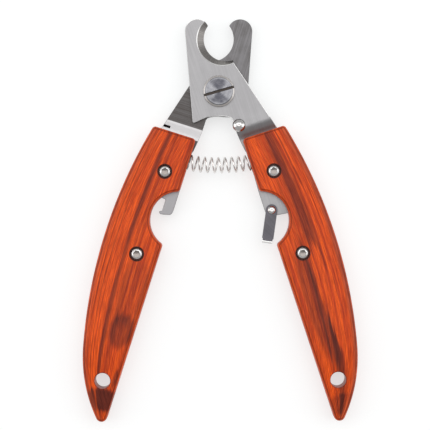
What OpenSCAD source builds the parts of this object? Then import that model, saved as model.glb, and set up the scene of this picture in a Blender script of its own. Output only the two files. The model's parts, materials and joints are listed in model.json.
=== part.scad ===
// Pliers-style pet nail clipper: two crossed steel levers with wooden scales,
// a compression spring between the grips and a swinging bar that locks them shut.
//
// Each lever is drawn in its own closed frame: the pivot at [0, 0], the grip
// towards -Y, its inner edge parallel to Y, and +X away from the other lever.
// place_lever() turns a lever to where it lies when the tool is open.
// Side 1 is the right lever (front blade), side -1 the left lever (rear blade).

/* [Levers] */
// Angle between the two levers when the tool lies open
open_angle = 36; // [30:1:40]
// Thickness of each stamped plate
plate_t = 2.4; // [2:0.1:3]
// Running gap between the two blades
blade_gap = 0.06; // [0.04:0.01:0.1]
// Distance from the pivot to the start of the joggle
joggle_start = 16.3; // [16.2:0.1:20]
// Length of the joggle along the lever
joggle_len = 3.9; // [3:0.1:5]
// Start of the rear blade's relief slot, outwards from the pivot
relief_x = 13.7; // [12:0.1:15]
// Width of the relief slot
relief_w = 0.9; // [0.4:0.1:1.1]
// Depth of the relief slot below the tang's face
relief_depth = 2.1; // [1.8:0.1:2.3]

/* [Blades] */
// Distance from the pivot to the centre of the rounded hook
hook_reach = 24.7; // [22:0.1:28]
// Distance of the hook's centre outside the lever's middle line
hook_x = -0.7; // [-1:0.1:0]
// Radius of the rounded hook
hook_r = 4.7; // [3.8:0.1:5]
// Radius of the cutting edge
edge_r = 8.6; // [8:0.1:9.5]
// Centre of the cutting edge, outwards from the pivot
edge_x = 8.95; // [8.5:0.05:9.5]
// Centre of the cutting edge, ahead of the pivot
edge_y = 18.45; // [18:0.05:20]
// How much wider the hollow grind is at the blade's outer face
bevel_w = 1.25; // [1:0.05:1.6]
// How far the grind leans towards the blade's back
bevel_lean = 1.5; // [0.5:0.1:2]
// Height of the flat land at the cutting edge
edge_land = 0.25; // [0.1:0.05:0.5]

/* [Grip] */
// Length of the grip from its front edge to where its end starts to round in
grip_len = 89; // [75:0.1:108]
// Width of the grip at its widest
grip_w = 22.4; // [19:0.1:26]
// Distance from the grip's front edge to its widest place
bulge_at = 44.6; // [38:0.1:52]
// Radius of the grip's long outer curve
side_r = 190; // [170:1:230]
// Radius of the curve that draws the grip in towards its end
end_r = 56; // [50:1:64]
// Radius of the grip's rounded end
tip_r = 2.2; // [2:0.1:2.6]
// Gap between the two grips when they are parallel
grip_gap = 5.5; // [5:0.1:7]
// Thickness of one wooden scale
scale_t = 5.2; // [4.4:0.1:6.4]
// Width of the rounding along a scale's edges
round_w = 1.2; // [0.8:0.1:1.5]
// Width of wood outside the tang
tang_inset = 2.8; // [2.4:0.1:3.4]
// Play between the tang and the pocket routed for it
pocket_play = 0.05; // [0.02:0.01:0.1]

/* [Finger notch] */
// Radius of the finger notch
notch_r = 11.1; // [9.5:0.1:12]
// Distance from the pivot to the middle of the finger notch
notch_at = 52.2; // [51:0.1:54]
// Distance of the notch's centre outside the line between closed grips
notch_x = -0.35; // [-0.6:0.05:0]

/* [Pivot] */
// Diameter of the pivot screw's shoulder
pivot_d = 5; // [4.2:0.1:6]
// Diameter of the pivot screw's head
pivot_head_d = 12; // [10:0.1:13]
// Height of the pivot screw's head
pivot_head_h = 2; // [1.6:0.1:2.4]
// Width of the bevel around the head
pivot_bevel_w = 0.9; // [0.5:0.05:1.2]
// Height of the bevel around the head
pivot_bevel_h = 0.5; // [0.3:0.05:0.7]
// Width of the screwdriver slot
slot_w = 0.9; // [0.7:0.05:1.2]
// Depth of the screwdriver slot
slot_depth = 1; // [0.7:0.1:1.2]
// Angle at which the slot stopped
slot_angle = 15.7; // [0:0.1:180]
// Thread diameter at the pivot nut
pivot_thread_d = 4; // [3.4:0.1:4.2]
// Width of the pivot nut across its flats
nut_af = 8; // [7:0.1:9]
// Thickness of the pivot nut
nut_t = 1.9; // [1.5:0.1:2]
// Radial running clearance in a hinge
run_play = 0.05; // [0.03:0.01:0.08]

/* [Stop pin] */
// Stop pin's distance inwards from the pivot, in the frame of the lever it stops
stop_in = 11.35; // [11.1:0.05:11.6]
// Stop pin's distance behind the pivot, in the frame of the lever it stops
stop_behind = 10.17; // [10.05:0.02:10.35]
// Diameter of the stop pin's domed head
stop_head_d = 5; // [4.2:0.1:5.2]
// Height of the stop pin's domed head
stop_head_h = 1.7; // [1.3:0.1:2]
// Diameter of the shoulder that the rear blade meets
stop_d = 3.3; // [2.8:0.1:3.4]
// Diameter of the stop pin's riveted shank
stop_shank_d = 2.2; // [1.8:0.1:2.3]

/* [Grip screws] */
// Distance from the grip's front edge to the first screw
screw_from_front = 15.4; // [14:0.1:17]
// Distance between the two screws
screw_pitch = 33.5; // [30:0.1:38]
// First screw's distance from the grip's inner edge
screw_in_1 = 7.65; // [6.5:0.05:9]
// Second screw's distance from the grip's inner edge
screw_in_2 = 8.3; // [7:0.05:10]
// Diameter of a screw's head and of its nut's head
screw_head_d = 4.8; // [4:0.1:5.6]
// Height of a screw's head
screw_head_h = 1.25; // [1:0.05:1.3]
// Depth of the counterbore that takes the head
counterbore_h = 1.4; // [1.3:0.05:1.8]
// Radial room around the head in its counterbore
head_room = 0.4; // [0.2:0.05:0.6]
// Diameter of a screw's shank
screw_d = 2.4; // [2:0.1:2.6]
// Diameter of the barrel nut that the screw runs into
barrel_d = 3.6; // [3.2:0.1:3.8]
// Width of the hexagon socket across its flats
socket_af = 2.5; // [2:0.1:2.6]

/* [Lanyard hole] */
// Diameter of the lanyard hole
lanyard_d = 6; // [5:0.1:7]
// Distance from the grip's end to the middle of the hole
lanyard_from_end = 15.3; // [14:0.1:18]
// Distance of the hole's middle from the grip's inner edge
lanyard_in = 6; // [5.5:0.1:7]
// Wood between the lanyard hole and the tang's end
lanyard_wood = 13; // [8:0.5:16]

/* [Spring] */
// Outer diameter of the spring
spring_d = 6.5; // [5.6:0.1:7.2]
// Diameter of the spring's wire
wire_d = 0.65; // [0.5:0.05:0.8]
// Number of turns
spring_turns = 11.3; // [9:0.1:12]
// Turns that lie closed at each end
closed_turns = 0.75; // [0.5:0.05:1]
// Angle by which each end of the bowed spring is turned away
spring_bow = 11; // [8:1:18]
// Distance from the pivot to the spring's seats
seat_at = 30; // [29:0.1:31]
// Depth of a spring seat in the grip's inner edge
seat_depth = 2.5; // [2:0.05:3]
// Radial room around the spring in its seat
seat_room = 0.35; // [0.3:0.05:0.5]
// Width of the peg that holds the spring in its seat
peg_w = 3.4; // [2.8:0.1:3.6]
// How far the peg stands out of the seat's floor
peg_len = 2.5; // [2:0.1:3]

/* [Lock] */
// Lock rivet's distance outwards from the line between closed grips
rivet_x = 5; // [4.8:0.1:5.2]
// Lock rivet's distance ahead of the middle of the finger notch
rivet_ahead = 2.4; // [2.2:0.1:2.6]
// Diameter of the lock rivet's shank
rivet_d = 2; // [1.6:0.1:2.2]
// Diameter of the lock rivet's heads
rivet_head_d = 3.1; // [2.8:0.1:3.4]
// Height of the lock rivet's front head
rivet_head_h = 1; // [0.7:0.1:1.2]
// Height of the lock rivet's back head
rivet_back_h = 0.8; // [0.5:0.1:1]
// Length of the lock bar from its rivet to the outside of its lip
bar_len = 13.1; // [13:0.05:13.2]
// Width of the lock bar
bar_w = 4.4; // [3.8:0.1:4.6]
// Thickness of the lock bar
bar_t = 0.9; // [0.8:0.05:1]
// Width of the lock bar's bent lip
lip_w = 3.8; // [3.4:0.1:4]
// Angle of the resting bar from its grip's inner edge
bar_rest_angle = 26.2; // [24:0.2:30]

/* [Hidden] */
$fn = 64;

right = 1;
left = -1;
front = 1;
back = -1;
eps = 0.01;
fixed_play = 0.02;
dimple_d = 0.9;
dimple_depth = 0.4;

// heights: the grips stand on z = 0 and the blades meet at mid_z
mid_z = scale_t;
half_angle = open_angle / 2;
blade_z = blade_gap / 2;
blade_top = blade_z + plate_t;
tang_z = plate_t / 2;

// places along a lever, in its closed frame
inner_x = grip_gap / 2;
joggle_end = -(joggle_start + joggle_len);
grip_y = joggle_end - 0.2;
bulge_y = grip_y - bulge_at;
side_c = [inner_x + grip_w - side_r, bulge_y];
taper_a = -asin((grip_len - bulge_at) / side_r);
end_c = side_c + (side_r - end_r) * [cos(taper_a), sin(taper_a)];
tip_x = inner_x + tip_r;
tip_dx = tip_x - end_c[0];
tip_c = [tip_x, end_c[1] - sqrt(pow(end_r - tip_r, 2) - pow(tip_dx, 2))];
tip_a = atan2(tip_c[1] - end_c[1], tip_dx);
grip_end = tip_c[1] - tip_r;
hook_c = [hook_x, hook_reach];
notch_c = [notch_x, -notch_at];
lanyard_c = [inner_x + lanyard_in, grip_end + lanyard_from_end];
tang_end = lanyard_c[1] + lanyard_d / 2 + lanyard_wood;
screw_1 = [inner_x + screw_in_1, grip_y - screw_from_front];
screw_2 = [inner_x + screw_in_2, screw_1[1] - screw_pitch];
stop_meets = turned([-stop_in, -stop_behind], open_angle);
stop_c = [-stop_meets[0], stop_meets[1]];
rivet_c = [rivet_x, rivet_ahead - notch_at];

// the pivot stands where the open tool is centred on the origin along Y
jaw_reach = (turned(hook_c, half_angle))[1] + hook_r;
grip_reach = tip_r - (turned(tip_c, half_angle))[1];
pivot_y = (grip_reach - jaw_reach) / 2;

// spring seat and the bowed spring between the two seats
seat_y = -seat_at;
seat_x = inner_x + seat_depth;
seat_r = spring_d / 2 + seat_room;
neck_foot_y = seat_y + seat_r + 0.5;
coil_r = (spring_d - wire_d) / 2;
end_lift = wire_d / 2 + spring_d / 2 * sin(abs(half_angle - spring_bow)) + run_play;
spring_end = turned([seat_x - end_lift, seat_y], half_angle);
bow_r = spring_end[0] / sin(spring_bow);
bow_c = [0, spring_end[1] + bow_r * cos(spring_bow)];
rings_per_turn = 14;
wire_sides = 6;
closed_pitch = 1.2 * wire_d;
rings = round(spring_turns * rings_per_turn);

// lock bar heights, from the mid-plane
bar_z = tang_z + run_play;
lip_bottom = -tang_z + 0.4;
lip_inner = bar_len - bar_t;
lip_step = lip_inner - 1;

function turned(p, a) = [p[0] * cos(a) - p[1] * sin(a), p[0] * sin(a) + p[1] * cos(a)];
function arc(c, r, a0, a1, n) =
    [for (i = [0:n]) c + r * [cos(a0 + (a1 - a0) * i / n), sin(a0 + (a1 - a0) * i / n)]];
function cross3(u, v) = cross(u, v) / norm(cross(u, v));

// angle at which a line touches two circles, on their left side
function touch_angle(c1, r1, c2, r2) =
    360 + atan2(c2[1] - c1[1], c2[0] - c1[0]) - acos((r1 - r2) / norm(c2 - c1));

// angle on the grip's side curve, drawn in by some inset, at a height y
function side_angle(y, inset) = asin((y - bulge_y) / (side_r - inset));

// outline of the grip, drawn in by an inset
function grip_outline(inset) = concat(
    [[inner_x + inset, grip_y - inset]],
    arc(side_c, side_r - inset, side_angle(grip_y - inset, inset), taper_a, 10),
    arc(end_c, end_r - inset, taper_a, tip_a, 8),
    arc(tip_c, tip_r - inset, tip_a, -180, 6));

// outer side of the tang, running up from its end to the grip's front edge
function tang_side(inset, end) =
    arc(side_c, side_r - inset, side_angle(end, inset), side_angle(grip_y, inset), 12);
function side_x(y, inset) = side_c[0] + (side_r - inset) * cos(side_angle(y, inset));

// hook, straight back edge and rounded corner of a blade
corner_r = 0.6;
corner_c = [-12.75, -8];
blade_heel = [8.9, 8.6];
back_a = touch_angle(hook_c, hook_r, corner_c, corner_r);
function blade_back() = concat(
    [[edge_x, edge_y]],
    arc(hook_c, hook_r, -10, back_a, 14),
    arc(corner_c, corner_r, back_a, 276, 5));

// arch below the pivot and the neck's inner edge
function blade_arch() = [
    [-7.5, -8], [-2.6, -9.25], [0.3, -10.5], [1.15, -11.1], [1.45, -12],
    [1.5, -joggle_start - 1], [1.8, grip_y], [inner_x - 0.35, neck_foot_y + 1],
    [inner_x, neck_foot_y]];

// spring seat with its peg, cut into the tang's inner edge
function seat_edge() = [
    [inner_x, seat_y + seat_r], [seat_x, seat_y + seat_r],
    [seat_x, seat_y + peg_w / 2], [seat_x - peg_len, seat_y + peg_w / 2],
    [seat_x - peg_len, seat_y - peg_w / 2], [seat_x, seat_y - peg_w / 2],
    [seat_x, seat_y - seat_r], [inner_x, seat_y - seat_r]];

// the right lever's tab carries the lock rivet
tab_r = 2.6;
tab_foot_y = notch_c[1] - 0.8;
function rivet_tab() = concat(
    [[rivet_c[0] - tab_r, notch_c[1] + notch_r]],
    arc(rivet_c, tab_r, 180, 285, 6),
    [[notch_c[0] + notch_r + 0.4, tab_foot_y]]);

// the left lever's tab ends in the hook that the lock bar's lip catches
neck_x = 6.95;
throat_y = notch_c[1] + 6.3;
beak_y = notch_c[1] + 1;
function hook_tab() = [
    [inner_x, notch_c[1] + notch_r], [inner_x, beak_y + 1.7], [inner_x + 0.75, beak_y],
    [neck_x - 1, beak_y - 0.6], [neck_x + 0.45, beak_y - 0.7], [neck_x + 0.95, beak_y],
    [neck_x, beak_y + 0.6], [neck_x, throat_y - 0.5], [neck_x + 0.5, throat_y],
    [notch_c[0] + sqrt(pow(notch_r + pocket_play, 2) - pow(throat_y - notch_c[1], 2)), throat_y]];

// the tang's edge along the finger notch, from its tab to the notch's lower end
tang_notch_r = notch_r + pocket_play;
notch_low_a = -acos((inner_x - notch_c[0]) / tang_notch_r);
function notch_edge(start_a) = arc(notch_c, tang_notch_r, start_a, notch_low_a, 10);
function tab_end(side) = side == right
    ? asin((tab_foot_y - notch_c[1]) / tang_notch_r)
    : asin((throat_y - notch_c[1]) / tang_notch_r);

function lever_outline(side) = concat(
    blade_back(), blade_arch(), seat_edge(),
    side == right ? rivet_tab() : hook_tab(),
    notch_edge(tab_end(side) - 1),
    [[inner_x, tang_end + 3], [inner_x + 3, tang_end]],
    tang_side(tang_inset, tang_end),
    [blade_heel]);

// wire of the spring: rings of points around a helix along a bowed centre line
function turns_at(i) = spring_turns * i / rings;
function along(t) =
    let (closed = closed_turns * closed_pitch, free = 2 * spring_bow / 180 * PI * bow_r)
    let (pitch = (free - 2 * closed) / (spring_turns - 2 * closed_turns))
    t < closed_turns ? closed * t / closed_turns
    : t > spring_turns - closed_turns
        ? free - closed * (spring_turns - t) / closed_turns
        : closed + pitch * (t - closed_turns);
function bow_angle(t) = along(t) / bow_r * 180 / PI - spring_bow;
function bow_normal(t) = [sin(bow_angle(t)), -cos(bow_angle(t)), 0];
function coil_out(t) = cos(360 * t) * bow_normal(t) - [0, 0, sin(360 * t)];
function wire_at(t) = [bow_c[0], bow_c[1], 0] + bow_r * bow_normal(t) + coil_r * coil_out(t);
function wire_ring(t) =
    let (out = coil_out(t), ahead = wire_at(t + 0.002) - wire_at(t - 0.002))
    let (across = cross3(ahead, out))
    [for (k = [0:wire_sides - 1]) wire_at(t)
        + wire_d / 2 * (cos(360 * k / wire_sides) * out + sin(360 * k / wire_sides) * across)];

// ---------------------------------------------------------------- placing

// puts a lever's own frame where that lever lies, with z = 0 at the mid-plane
module place_lever(side)
    translate([0, pivot_y, mid_z])
        rotate([0, 0, side * half_angle])
            mirror([side == left ? 1 : 0, 0, 0])
                children();

// turns a front piece over to make the one behind it
module face(which)
    mirror([0, 0, which == back ? 1 : 0])
        children();

// a hole or pin across the lever, from height z0 to z1
module across(c, d, z0, z1)
    translate([c[0], c[1], z0])
        cylinder(d = d, h = z1 - z0);

// ---------------------------------------------------------------- levers

// the stamped plate seen from the side: flat blade, joggle, flat tang
module side_profile() {
    ahead = hook_c[1] + hook_r + 1;
    behind = tang_end - 1;
    reach = side_r;
    translate([-reach / 2, 0, 0])
        rotate([90, 0, 90])
            linear_extrude(reach)
                polygon([
                    [ahead, blade_z], [ahead, blade_top], [-joggle_start, blade_top],
                    [joggle_end, tang_z], [behind, tang_z], [behind, -tang_z],
                    [joggle_end, -tang_z], [-joggle_start, blade_z]]);
}

// hollow grind of the cutting edge, sharp at the plane where the blades meet
module edge_cut() {
    across([edge_x, edge_y], 2 * edge_r, 0, blade_top + 1);
    hull() {
        translate([edge_x, edge_y, blade_z + edge_land])
            cylinder(r = edge_r, h = eps, $fn = 96);
        translate([edge_x - bevel_lean, edge_y, blade_top])
            cylinder(r = edge_r + bevel_w, h = eps, $fn = 96);
    }
}

module lever_plate(side)
    difference() {
        intersection() {
            translate([0, 0, -plate_t])
                linear_extrude(3 * plate_t)
                    polygon(lever_outline(side));
            side_profile();
        }
        edge_cut();
        across([0, 0], pivot_d + 2 * run_play, 0, blade_top + 1);
        for (c = [screw_1, screw_2])
            across(c, barrel_d + 2 * run_play, -plate_t, plate_t);
    }

module front_blade()
    color("silver")
        place_lever(right)
            difference() {
                lever_plate(right);
                across(stop_c, stop_shank_d + 2 * fixed_play, 0, blade_top + 1);
                across(rivet_c, rivet_d + 2 * fixed_play, -plate_t, plate_t);
            }

// the same stamping turned over, with a blind relief slot in its joggle
module rear_blade()
    color("darkgray")
        place_lever(left)
            difference() {
                face(back)
                    lever_plate(left);
                translate([relief_x, joggle_end + relief_w, tang_z - relief_depth])
                    cube([grip_w, relief_w, 2 * plate_t]);
            }

// ---------------------------------------------------------------- wooden scales

// solid blank of one scale with rounded outer edges, standing on the mid-plane
module scale_blank()
    hull() {
        linear_extrude(scale_t - round_w)
            polygon(grip_outline(0));
        linear_extrude(scale_t - round_w * 0.3)
            polygon(grip_outline(round_w * 0.3));
        linear_extrude(scale_t)
            polygon(grip_outline(round_w));
    }

// finger notch, with its edge rounded like the rest of the scale
module notch_cut() {
    across(notch_c, 2 * notch_r, -1, scale_t + 1);
    translate([notch_c[0], notch_c[1], scale_t - round_w])
        cylinder(r1 = notch_r, r2 = notch_r + round_w, h = round_w + eps);
}

// pocket for half the tang's thickness, open to the front and the inner edge
module tang_pocket()
    translate([0, 0, -tang_z])
        linear_extrude(2 * tang_z)
            polygon(concat(
                [[0, grip_y + 1], [0, tang_end - pocket_play]],
                tang_side(tang_inset - pocket_play, tang_end - pocket_play),
                [[side_x(grip_y, tang_inset - pocket_play), grip_y + 1]]));

// bored seat for half the spring
module spring_seat()
    translate([seat_x, seat_y, 0])
        rotate([0, -90, 0])
            cylinder(r = seat_r, h = seat_depth + 1);

module grip_scale(side, which)
    color(which == front ? "orangered" : "sienna")
        place_lever(side)
            face(which)
                difference() {
                    scale_blank();
                    notch_cut();
                    tang_pocket();
                    spring_seat();
                    across(lanyard_c, lanyard_d, -1, scale_t + 1);
                    for (c = [screw_1, screw_2]) {
                        across(c, barrel_d + 2 * run_play, -1, scale_t + 1);
                        across(c, screw_head_d + 2 * head_room,
                            scale_t - counterbore_h, scale_t + 1);
                    }
                }

module right_scale_front() grip_scale(right, front);
module right_scale_back() grip_scale(right, back);
module left_scale_front() grip_scale(left, front);
module left_scale_back() grip_scale(left, back);

// ---------------------------------------------------------------- grip screws

head_z = scale_t - counterbore_h;
barrel_h = 2 * head_z - 0.8;
thread_floor = -tang_z - 0.6;

// low domed head standing on z = 0
module domed_head(d, h) {
    rim = h * 0.45;
    cap = h - rim;
    ball_r = (d * d / 4 + cap * cap) / (2 * cap);
    cylinder(d = d, h = rim);
    intersection() {
        translate([0, 0, rim - eps])
            cylinder(d = d, h = cap + 2 * eps);
        translate([0, 0, h - ball_r])
            sphere(r = ball_r);
    }
}

// low domed head with a hexagon socket
module socket_head() {
    socket_h = screw_head_h * 0.6;
    difference() {
        domed_head(screw_head_d, screw_head_h);
        translate([0, 0, screw_head_h - socket_h])
            cylinder(d = socket_af / cos(30), h = socket_h + 1, $fn = 6);
    }
}

module grip_screw(side, c)
    color("gainsboro")
        place_lever(side)
            translate([c[0], c[1], 0]) {
                translate([0, 0, head_z])
                    socket_head();
                translate([0, 0, -tang_z])
                    cylinder(d = screw_d, h = head_z + tang_z + eps);
            }

module barrel_nut(side, c)
    color("gainsboro")
        place_lever(side)
            translate([c[0], c[1], 0])
                difference() {
                    union() {
                        face(back)
                            translate([0, 0, head_z])
                                socket_head();
                        translate([0, 0, -head_z - eps])
                            cylinder(d = barrel_d, h = barrel_h);
                    }
                    translate([0, 0, thread_floor])
                        cylinder(d = screw_d + 2 * fixed_play, h = 2 * scale_t);
                }

module right_screw_upper() grip_screw(right, screw_1);
module right_screw_lower() grip_screw(right, screw_2);
module left_screw_upper() grip_screw(left, screw_1);
module left_screw_lower() grip_screw(left, screw_2);
module right_nut_upper() barrel_nut(right, screw_1);
module right_nut_lower() barrel_nut(right, screw_2);
module left_nut_upper() barrel_nut(left, screw_1);
module left_nut_lower() barrel_nut(left, screw_2);

// ---------------------------------------------------------------- pivot

shoulder_bottom = -blade_top - run_play;
thread_end = shoulder_bottom - nut_t - 0.2;

module pivot_screw()
    color("gainsboro")
        translate([0, pivot_y, mid_z])
            difference() {
                union() {
                    translate([0, 0, blade_top])
                        cylinder(d = pivot_head_d, h = pivot_head_h - pivot_bevel_h);
                    translate([0, 0, blade_top + pivot_head_h - pivot_bevel_h])
                        cylinder(
                            d1 = pivot_head_d, d2 = pivot_head_d - 2 * pivot_bevel_w,
                            h = pivot_bevel_h);
                    across([0, 0], pivot_d, shoulder_bottom, blade_top + eps);
                    across([0, 0], pivot_thread_d, thread_end, shoulder_bottom + eps);
                }
                rotate([0, 0, slot_angle])
                    translate([-pivot_head_d, -slot_w / 2, blade_top + pivot_head_h - slot_depth])
                        cube([2 * pivot_head_d, slot_w, slot_depth + 1]);
            }

module pivot_nut()
    color("darkgray")
        translate([0, pivot_y, mid_z + shoulder_bottom - nut_t])
            difference() {
                rotate([0, 0, half_angle])
                    cylinder(d = nut_af / cos(30), h = nut_t, $fn = 6);
                translate([0, 0, -1])
                    cylinder(d = pivot_thread_d + 2 * fixed_play, h = nut_t + 2);
            }

// ---------------------------------------------------------------- stop pin

module stop_pin()
    color("gainsboro")
        place_lever(right)
            translate([stop_c[0], stop_c[1], 0]) {
                translate([0, 0, blade_top])
                    difference() {
                        domed_head(stop_head_d, stop_head_h);
                        translate([0, 0, stop_head_h - dimple_depth])
                            cylinder(d = dimple_d, h = 2 * dimple_depth);
                    }
                across([0, 0], stop_shank_d, blade_z - eps, blade_top + eps);
                across([0, 0], stop_d, -plate_t, blade_z);
            }

// ---------------------------------------------------------------- lock

module lock_bar()
    color("dimgray")
        place_lever(right)
            translate([rivet_c[0], rivet_c[1], 0])
                rotate([0, 0, -90 - bar_rest_angle])
                    difference() {
                        union() {
                            translate([0, 0, bar_z])
                                cylinder(d = bar_w, h = bar_t);
                            translate([0, -bar_w / 2, bar_z])
                                cube([lip_step, bar_w, bar_t]);
                            translate([lip_step - eps, -lip_w / 2, bar_z])
                                cube([bar_len - lip_step + eps, lip_w, bar_t]);
                            translate([lip_inner, -lip_w / 2, lip_bottom])
                                cube([bar_t, lip_w, bar_z - lip_bottom + eps]);
                        }
                        across([0, 0], rivet_d + 2 * run_play, -scale_t, scale_t);
                    }

module lock_rivet()
    color("gainsboro")
        place_lever(right)
            translate([rivet_c[0], rivet_c[1], 0]) {
                translate([0, 0, bar_z + bar_t + run_play])
                    domed_head(rivet_head_d, rivet_head_h);
                across([0, 0], rivet_d, -tang_z - eps, bar_z + bar_t + run_play + eps);
                translate([0, 0, -tang_z])
                    face(back)
                        domed_head(rivet_head_d, rivet_back_h);
            }

// ---------------------------------------------------------------- spring

module return_spring()
    color("whitesmoke")
        translate([0, pivot_y, mid_z]) {
            points = [for (i = [0:rings]) each wire_ring(turns_at(i))];
            sides = [for (i = [0:rings - 1], k = [0:wire_sides - 1])
                let (here = i * wire_sides, next = here + wire_sides, n = (k + 1) % wire_sides)
                each [[here + k, here + n, next + n], [here + k, next + n, next + k]]];
            first = [for (k = [0:wire_sides - 1]) wire_sides - 1 - k];
            last = [for (k = [0:wire_sides - 1]) rings * wire_sides + k];
            polyhedron(points, concat(sides, [first, last]));
        }

front_blade();
rear_blade();
right_scale_front();
right_scale_back();
left_scale_front();
left_scale_back();
right_screw_upper();
right_screw_lower();
left_screw_upper();
left_screw_lower();
right_nut_upper();
right_nut_lower();
left_nut_upper();
left_nut_lower();
pivot_screw();
pivot_nut();
stop_pin();
lock_bar();
lock_rivet();
return_spring();
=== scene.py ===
"""Looks of a pliers-style pet nail clipper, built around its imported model.

Two crossed steel levers carry varnished wooden scales. A coil spring holds them
open and a swinging bar locks them shut. Sizes are in millimetres in each lever's
own frame: the pivot at the origin, the grip towards -Y, +X away from the other
lever, and z = 0 on the plane where the two blades meet.
"""

import json
import logging
import math
from dataclasses import dataclass, field
from enum import Enum

import bmesh
import bpy
from mathutils import Matrix, Vector

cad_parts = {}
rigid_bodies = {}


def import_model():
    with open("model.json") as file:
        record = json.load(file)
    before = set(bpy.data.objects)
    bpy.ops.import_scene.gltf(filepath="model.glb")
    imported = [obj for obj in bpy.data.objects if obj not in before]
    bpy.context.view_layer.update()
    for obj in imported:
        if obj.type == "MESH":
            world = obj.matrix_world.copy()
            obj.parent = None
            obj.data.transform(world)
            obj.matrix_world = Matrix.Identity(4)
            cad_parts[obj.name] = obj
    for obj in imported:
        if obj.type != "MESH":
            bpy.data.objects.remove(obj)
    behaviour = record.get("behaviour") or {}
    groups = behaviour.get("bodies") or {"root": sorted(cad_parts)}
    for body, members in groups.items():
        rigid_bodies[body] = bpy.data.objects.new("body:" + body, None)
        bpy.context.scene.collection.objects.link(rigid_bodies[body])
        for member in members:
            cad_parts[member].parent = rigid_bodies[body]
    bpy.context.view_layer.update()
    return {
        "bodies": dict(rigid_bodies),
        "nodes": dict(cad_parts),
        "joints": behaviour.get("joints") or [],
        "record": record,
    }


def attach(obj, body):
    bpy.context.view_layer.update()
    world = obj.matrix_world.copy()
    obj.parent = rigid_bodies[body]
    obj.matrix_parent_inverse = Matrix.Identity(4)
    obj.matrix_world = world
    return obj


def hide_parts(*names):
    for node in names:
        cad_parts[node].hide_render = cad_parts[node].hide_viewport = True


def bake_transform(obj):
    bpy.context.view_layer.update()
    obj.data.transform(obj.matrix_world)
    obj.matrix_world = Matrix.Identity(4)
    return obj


log = logging.getLogger("nail_clipper")

MM = 0.001
FLOAT = "NodeSocketFloat"
VECTOR = "NodeSocketVector"
GEOMETRY = "NodeSocketGeometry"
MATERIAL = "NodeSocketMaterial"

Point = tuple[float, float]
Ring = list[tuple[float, float, float]]
Colour = tuple[float, float, float]
Mesh = bmesh.types.BMesh
Piece = bpy.types.Object
Material = bpy.types.Material
Tree = bpy.types.NodeTree
Node = bpy.types.Node
Socket = bpy.types.NodeSocket


class Side(Enum):
    """Which lever a piece belongs to; the value mirrors X."""

    RIGHT = 1
    LEFT = -1

    @property
    def body(self) -> str:
        """Name of the CAD body that the lever's pieces ride on."""
        return f"{self.name.lower()}_lever"


class Face(Enum):
    """Front or back of the tool; the value mirrors Z."""

    FRONT = 1
    BACK = -1


class Slot(Enum):
    """The record's material slots."""

    BLADE = "blade_steel"
    WOOD = "wood"
    FASTENER = "fastener_steel"
    PIVOT = "pivot_steel"
    BAR = "bar_steel"
    SPRING = "spring_steel"


# ------------------------------------------------------------------ drawing


def polar(centre: Point, radius: float, angle: float) -> Point:
    """Returns the point at a radius and an angle in degrees from a centre."""
    turn = math.radians(angle)
    return (centre[0] + radius * math.cos(turn), centre[1] + radius * math.sin(turn))


def turned(point: Point, angle: float) -> Point:
    """Returns a point turned about the origin by an angle in degrees."""
    turn = math.radians(angle)
    return (
        point[0] * math.cos(turn) - point[1] * math.sin(turn),
        point[0] * math.sin(turn) + point[1] * math.cos(turn),
    )


def bearing(start: Point, end: Point) -> float:
    """Returns the direction from one point to another, in degrees."""
    return math.degrees(math.atan2(end[1] - start[1], end[0] - start[0]))


@dataclass(frozen=True)
class Arc:
    """A round stretch of an outline, which can be drawn inset from its edge."""

    centre: Point
    radius: float
    start: float
    end: float
    steps: int
    hollow: bool = False

    def points(self, inset: float = 0.0) -> list[Point]:
        """Returns the arc's points.

        Args:
            inset: How far the outline is drawn in; a hollow arc grows by it.

        Returns:
            Points from the start angle to the end angle.
        """
        radius = self.radius + inset if self.hollow else self.radius - inset
        sweep = self.end - self.start
        return [
            polar(self.centre, radius, self.start + sweep * i / self.steps)
            for i in range(self.steps + 1)
        ]


def offset(points: list[Point], inset: float) -> list[Point]:
    """Draws a clockwise outline in by a small inset, with mitred corners.

    Args:
        points: The outline.
        inset: Distance that each edge moves inwards.

    Returns:
        The moved points, as many as came in.
    """
    drawn = []
    for i, here in enumerate(points):
        before, after = Vector(points[i - 1]), Vector(points[(i + 1) % len(points)])
        arriving = (Vector(here) - before).normalized()
        leaving = (after - Vector(here)).normalized()
        first = Vector((arriving.y, -arriving.x))
        second = Vector((leaving.y, -leaving.x))
        mitre = (first + second).normalized()
        reach = inset / max(0.5, mitre.dot(first))
        drawn.append((here[0] + mitre.x * reach, here[1] + mitre.y * reach))
    return drawn


# ------------------------------------------------------------------ meshes


def rings_mesh(rings: list[Ring], closed: bool = True) -> Mesh:
    """Skins a stack of rings that have the same number of points.

    Args:
        rings: The rings, in order.
        closed: Whether flat faces close both ends.

    Returns:
        A new mesh with its faces pointing outwards.
    """
    mesh = bmesh.new()
    rows = [[mesh.verts.new(p) for p in ring] for ring in rings]
    count = len(rows[0])
    for low, high in zip(rows, rows[1:]):
        for i in range(count):
            j = (i + 1) % count
            mesh.faces.new((low[i], low[j], high[j], high[i]))
    if closed:
        mesh.faces.new(rows[0])
        mesh.faces.new(rows[-1])
    bmesh.ops.remove_doubles(mesh, verts=mesh.verts, dist=1e-5)
    bmesh.ops.recalc_face_normals(mesh, faces=mesh.faces)
    return mesh


def circle(centre: Point, radius: float, z: float, steps: int) -> Ring:
    """Returns the points of a level circle."""
    turns = [2 * math.pi * i / steps for i in range(steps)]
    x, y = centre
    return [(x + radius * math.cos(a), y + radius * math.sin(a), z) for a in turns]


def lathe(profile: list[Point], steps: int = 64) -> Mesh:
    """Turns a profile of (radius, z) points about the Z axis.

    Args:
        profile: Points from one end of the axis to the other, both at radius 0.
        steps: Points around.

    Returns:
        A closed solid of revolution.
    """
    return rings_mesh([circle((0, 0), radius, z, steps) for radius, z in profile], closed=False)


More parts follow.
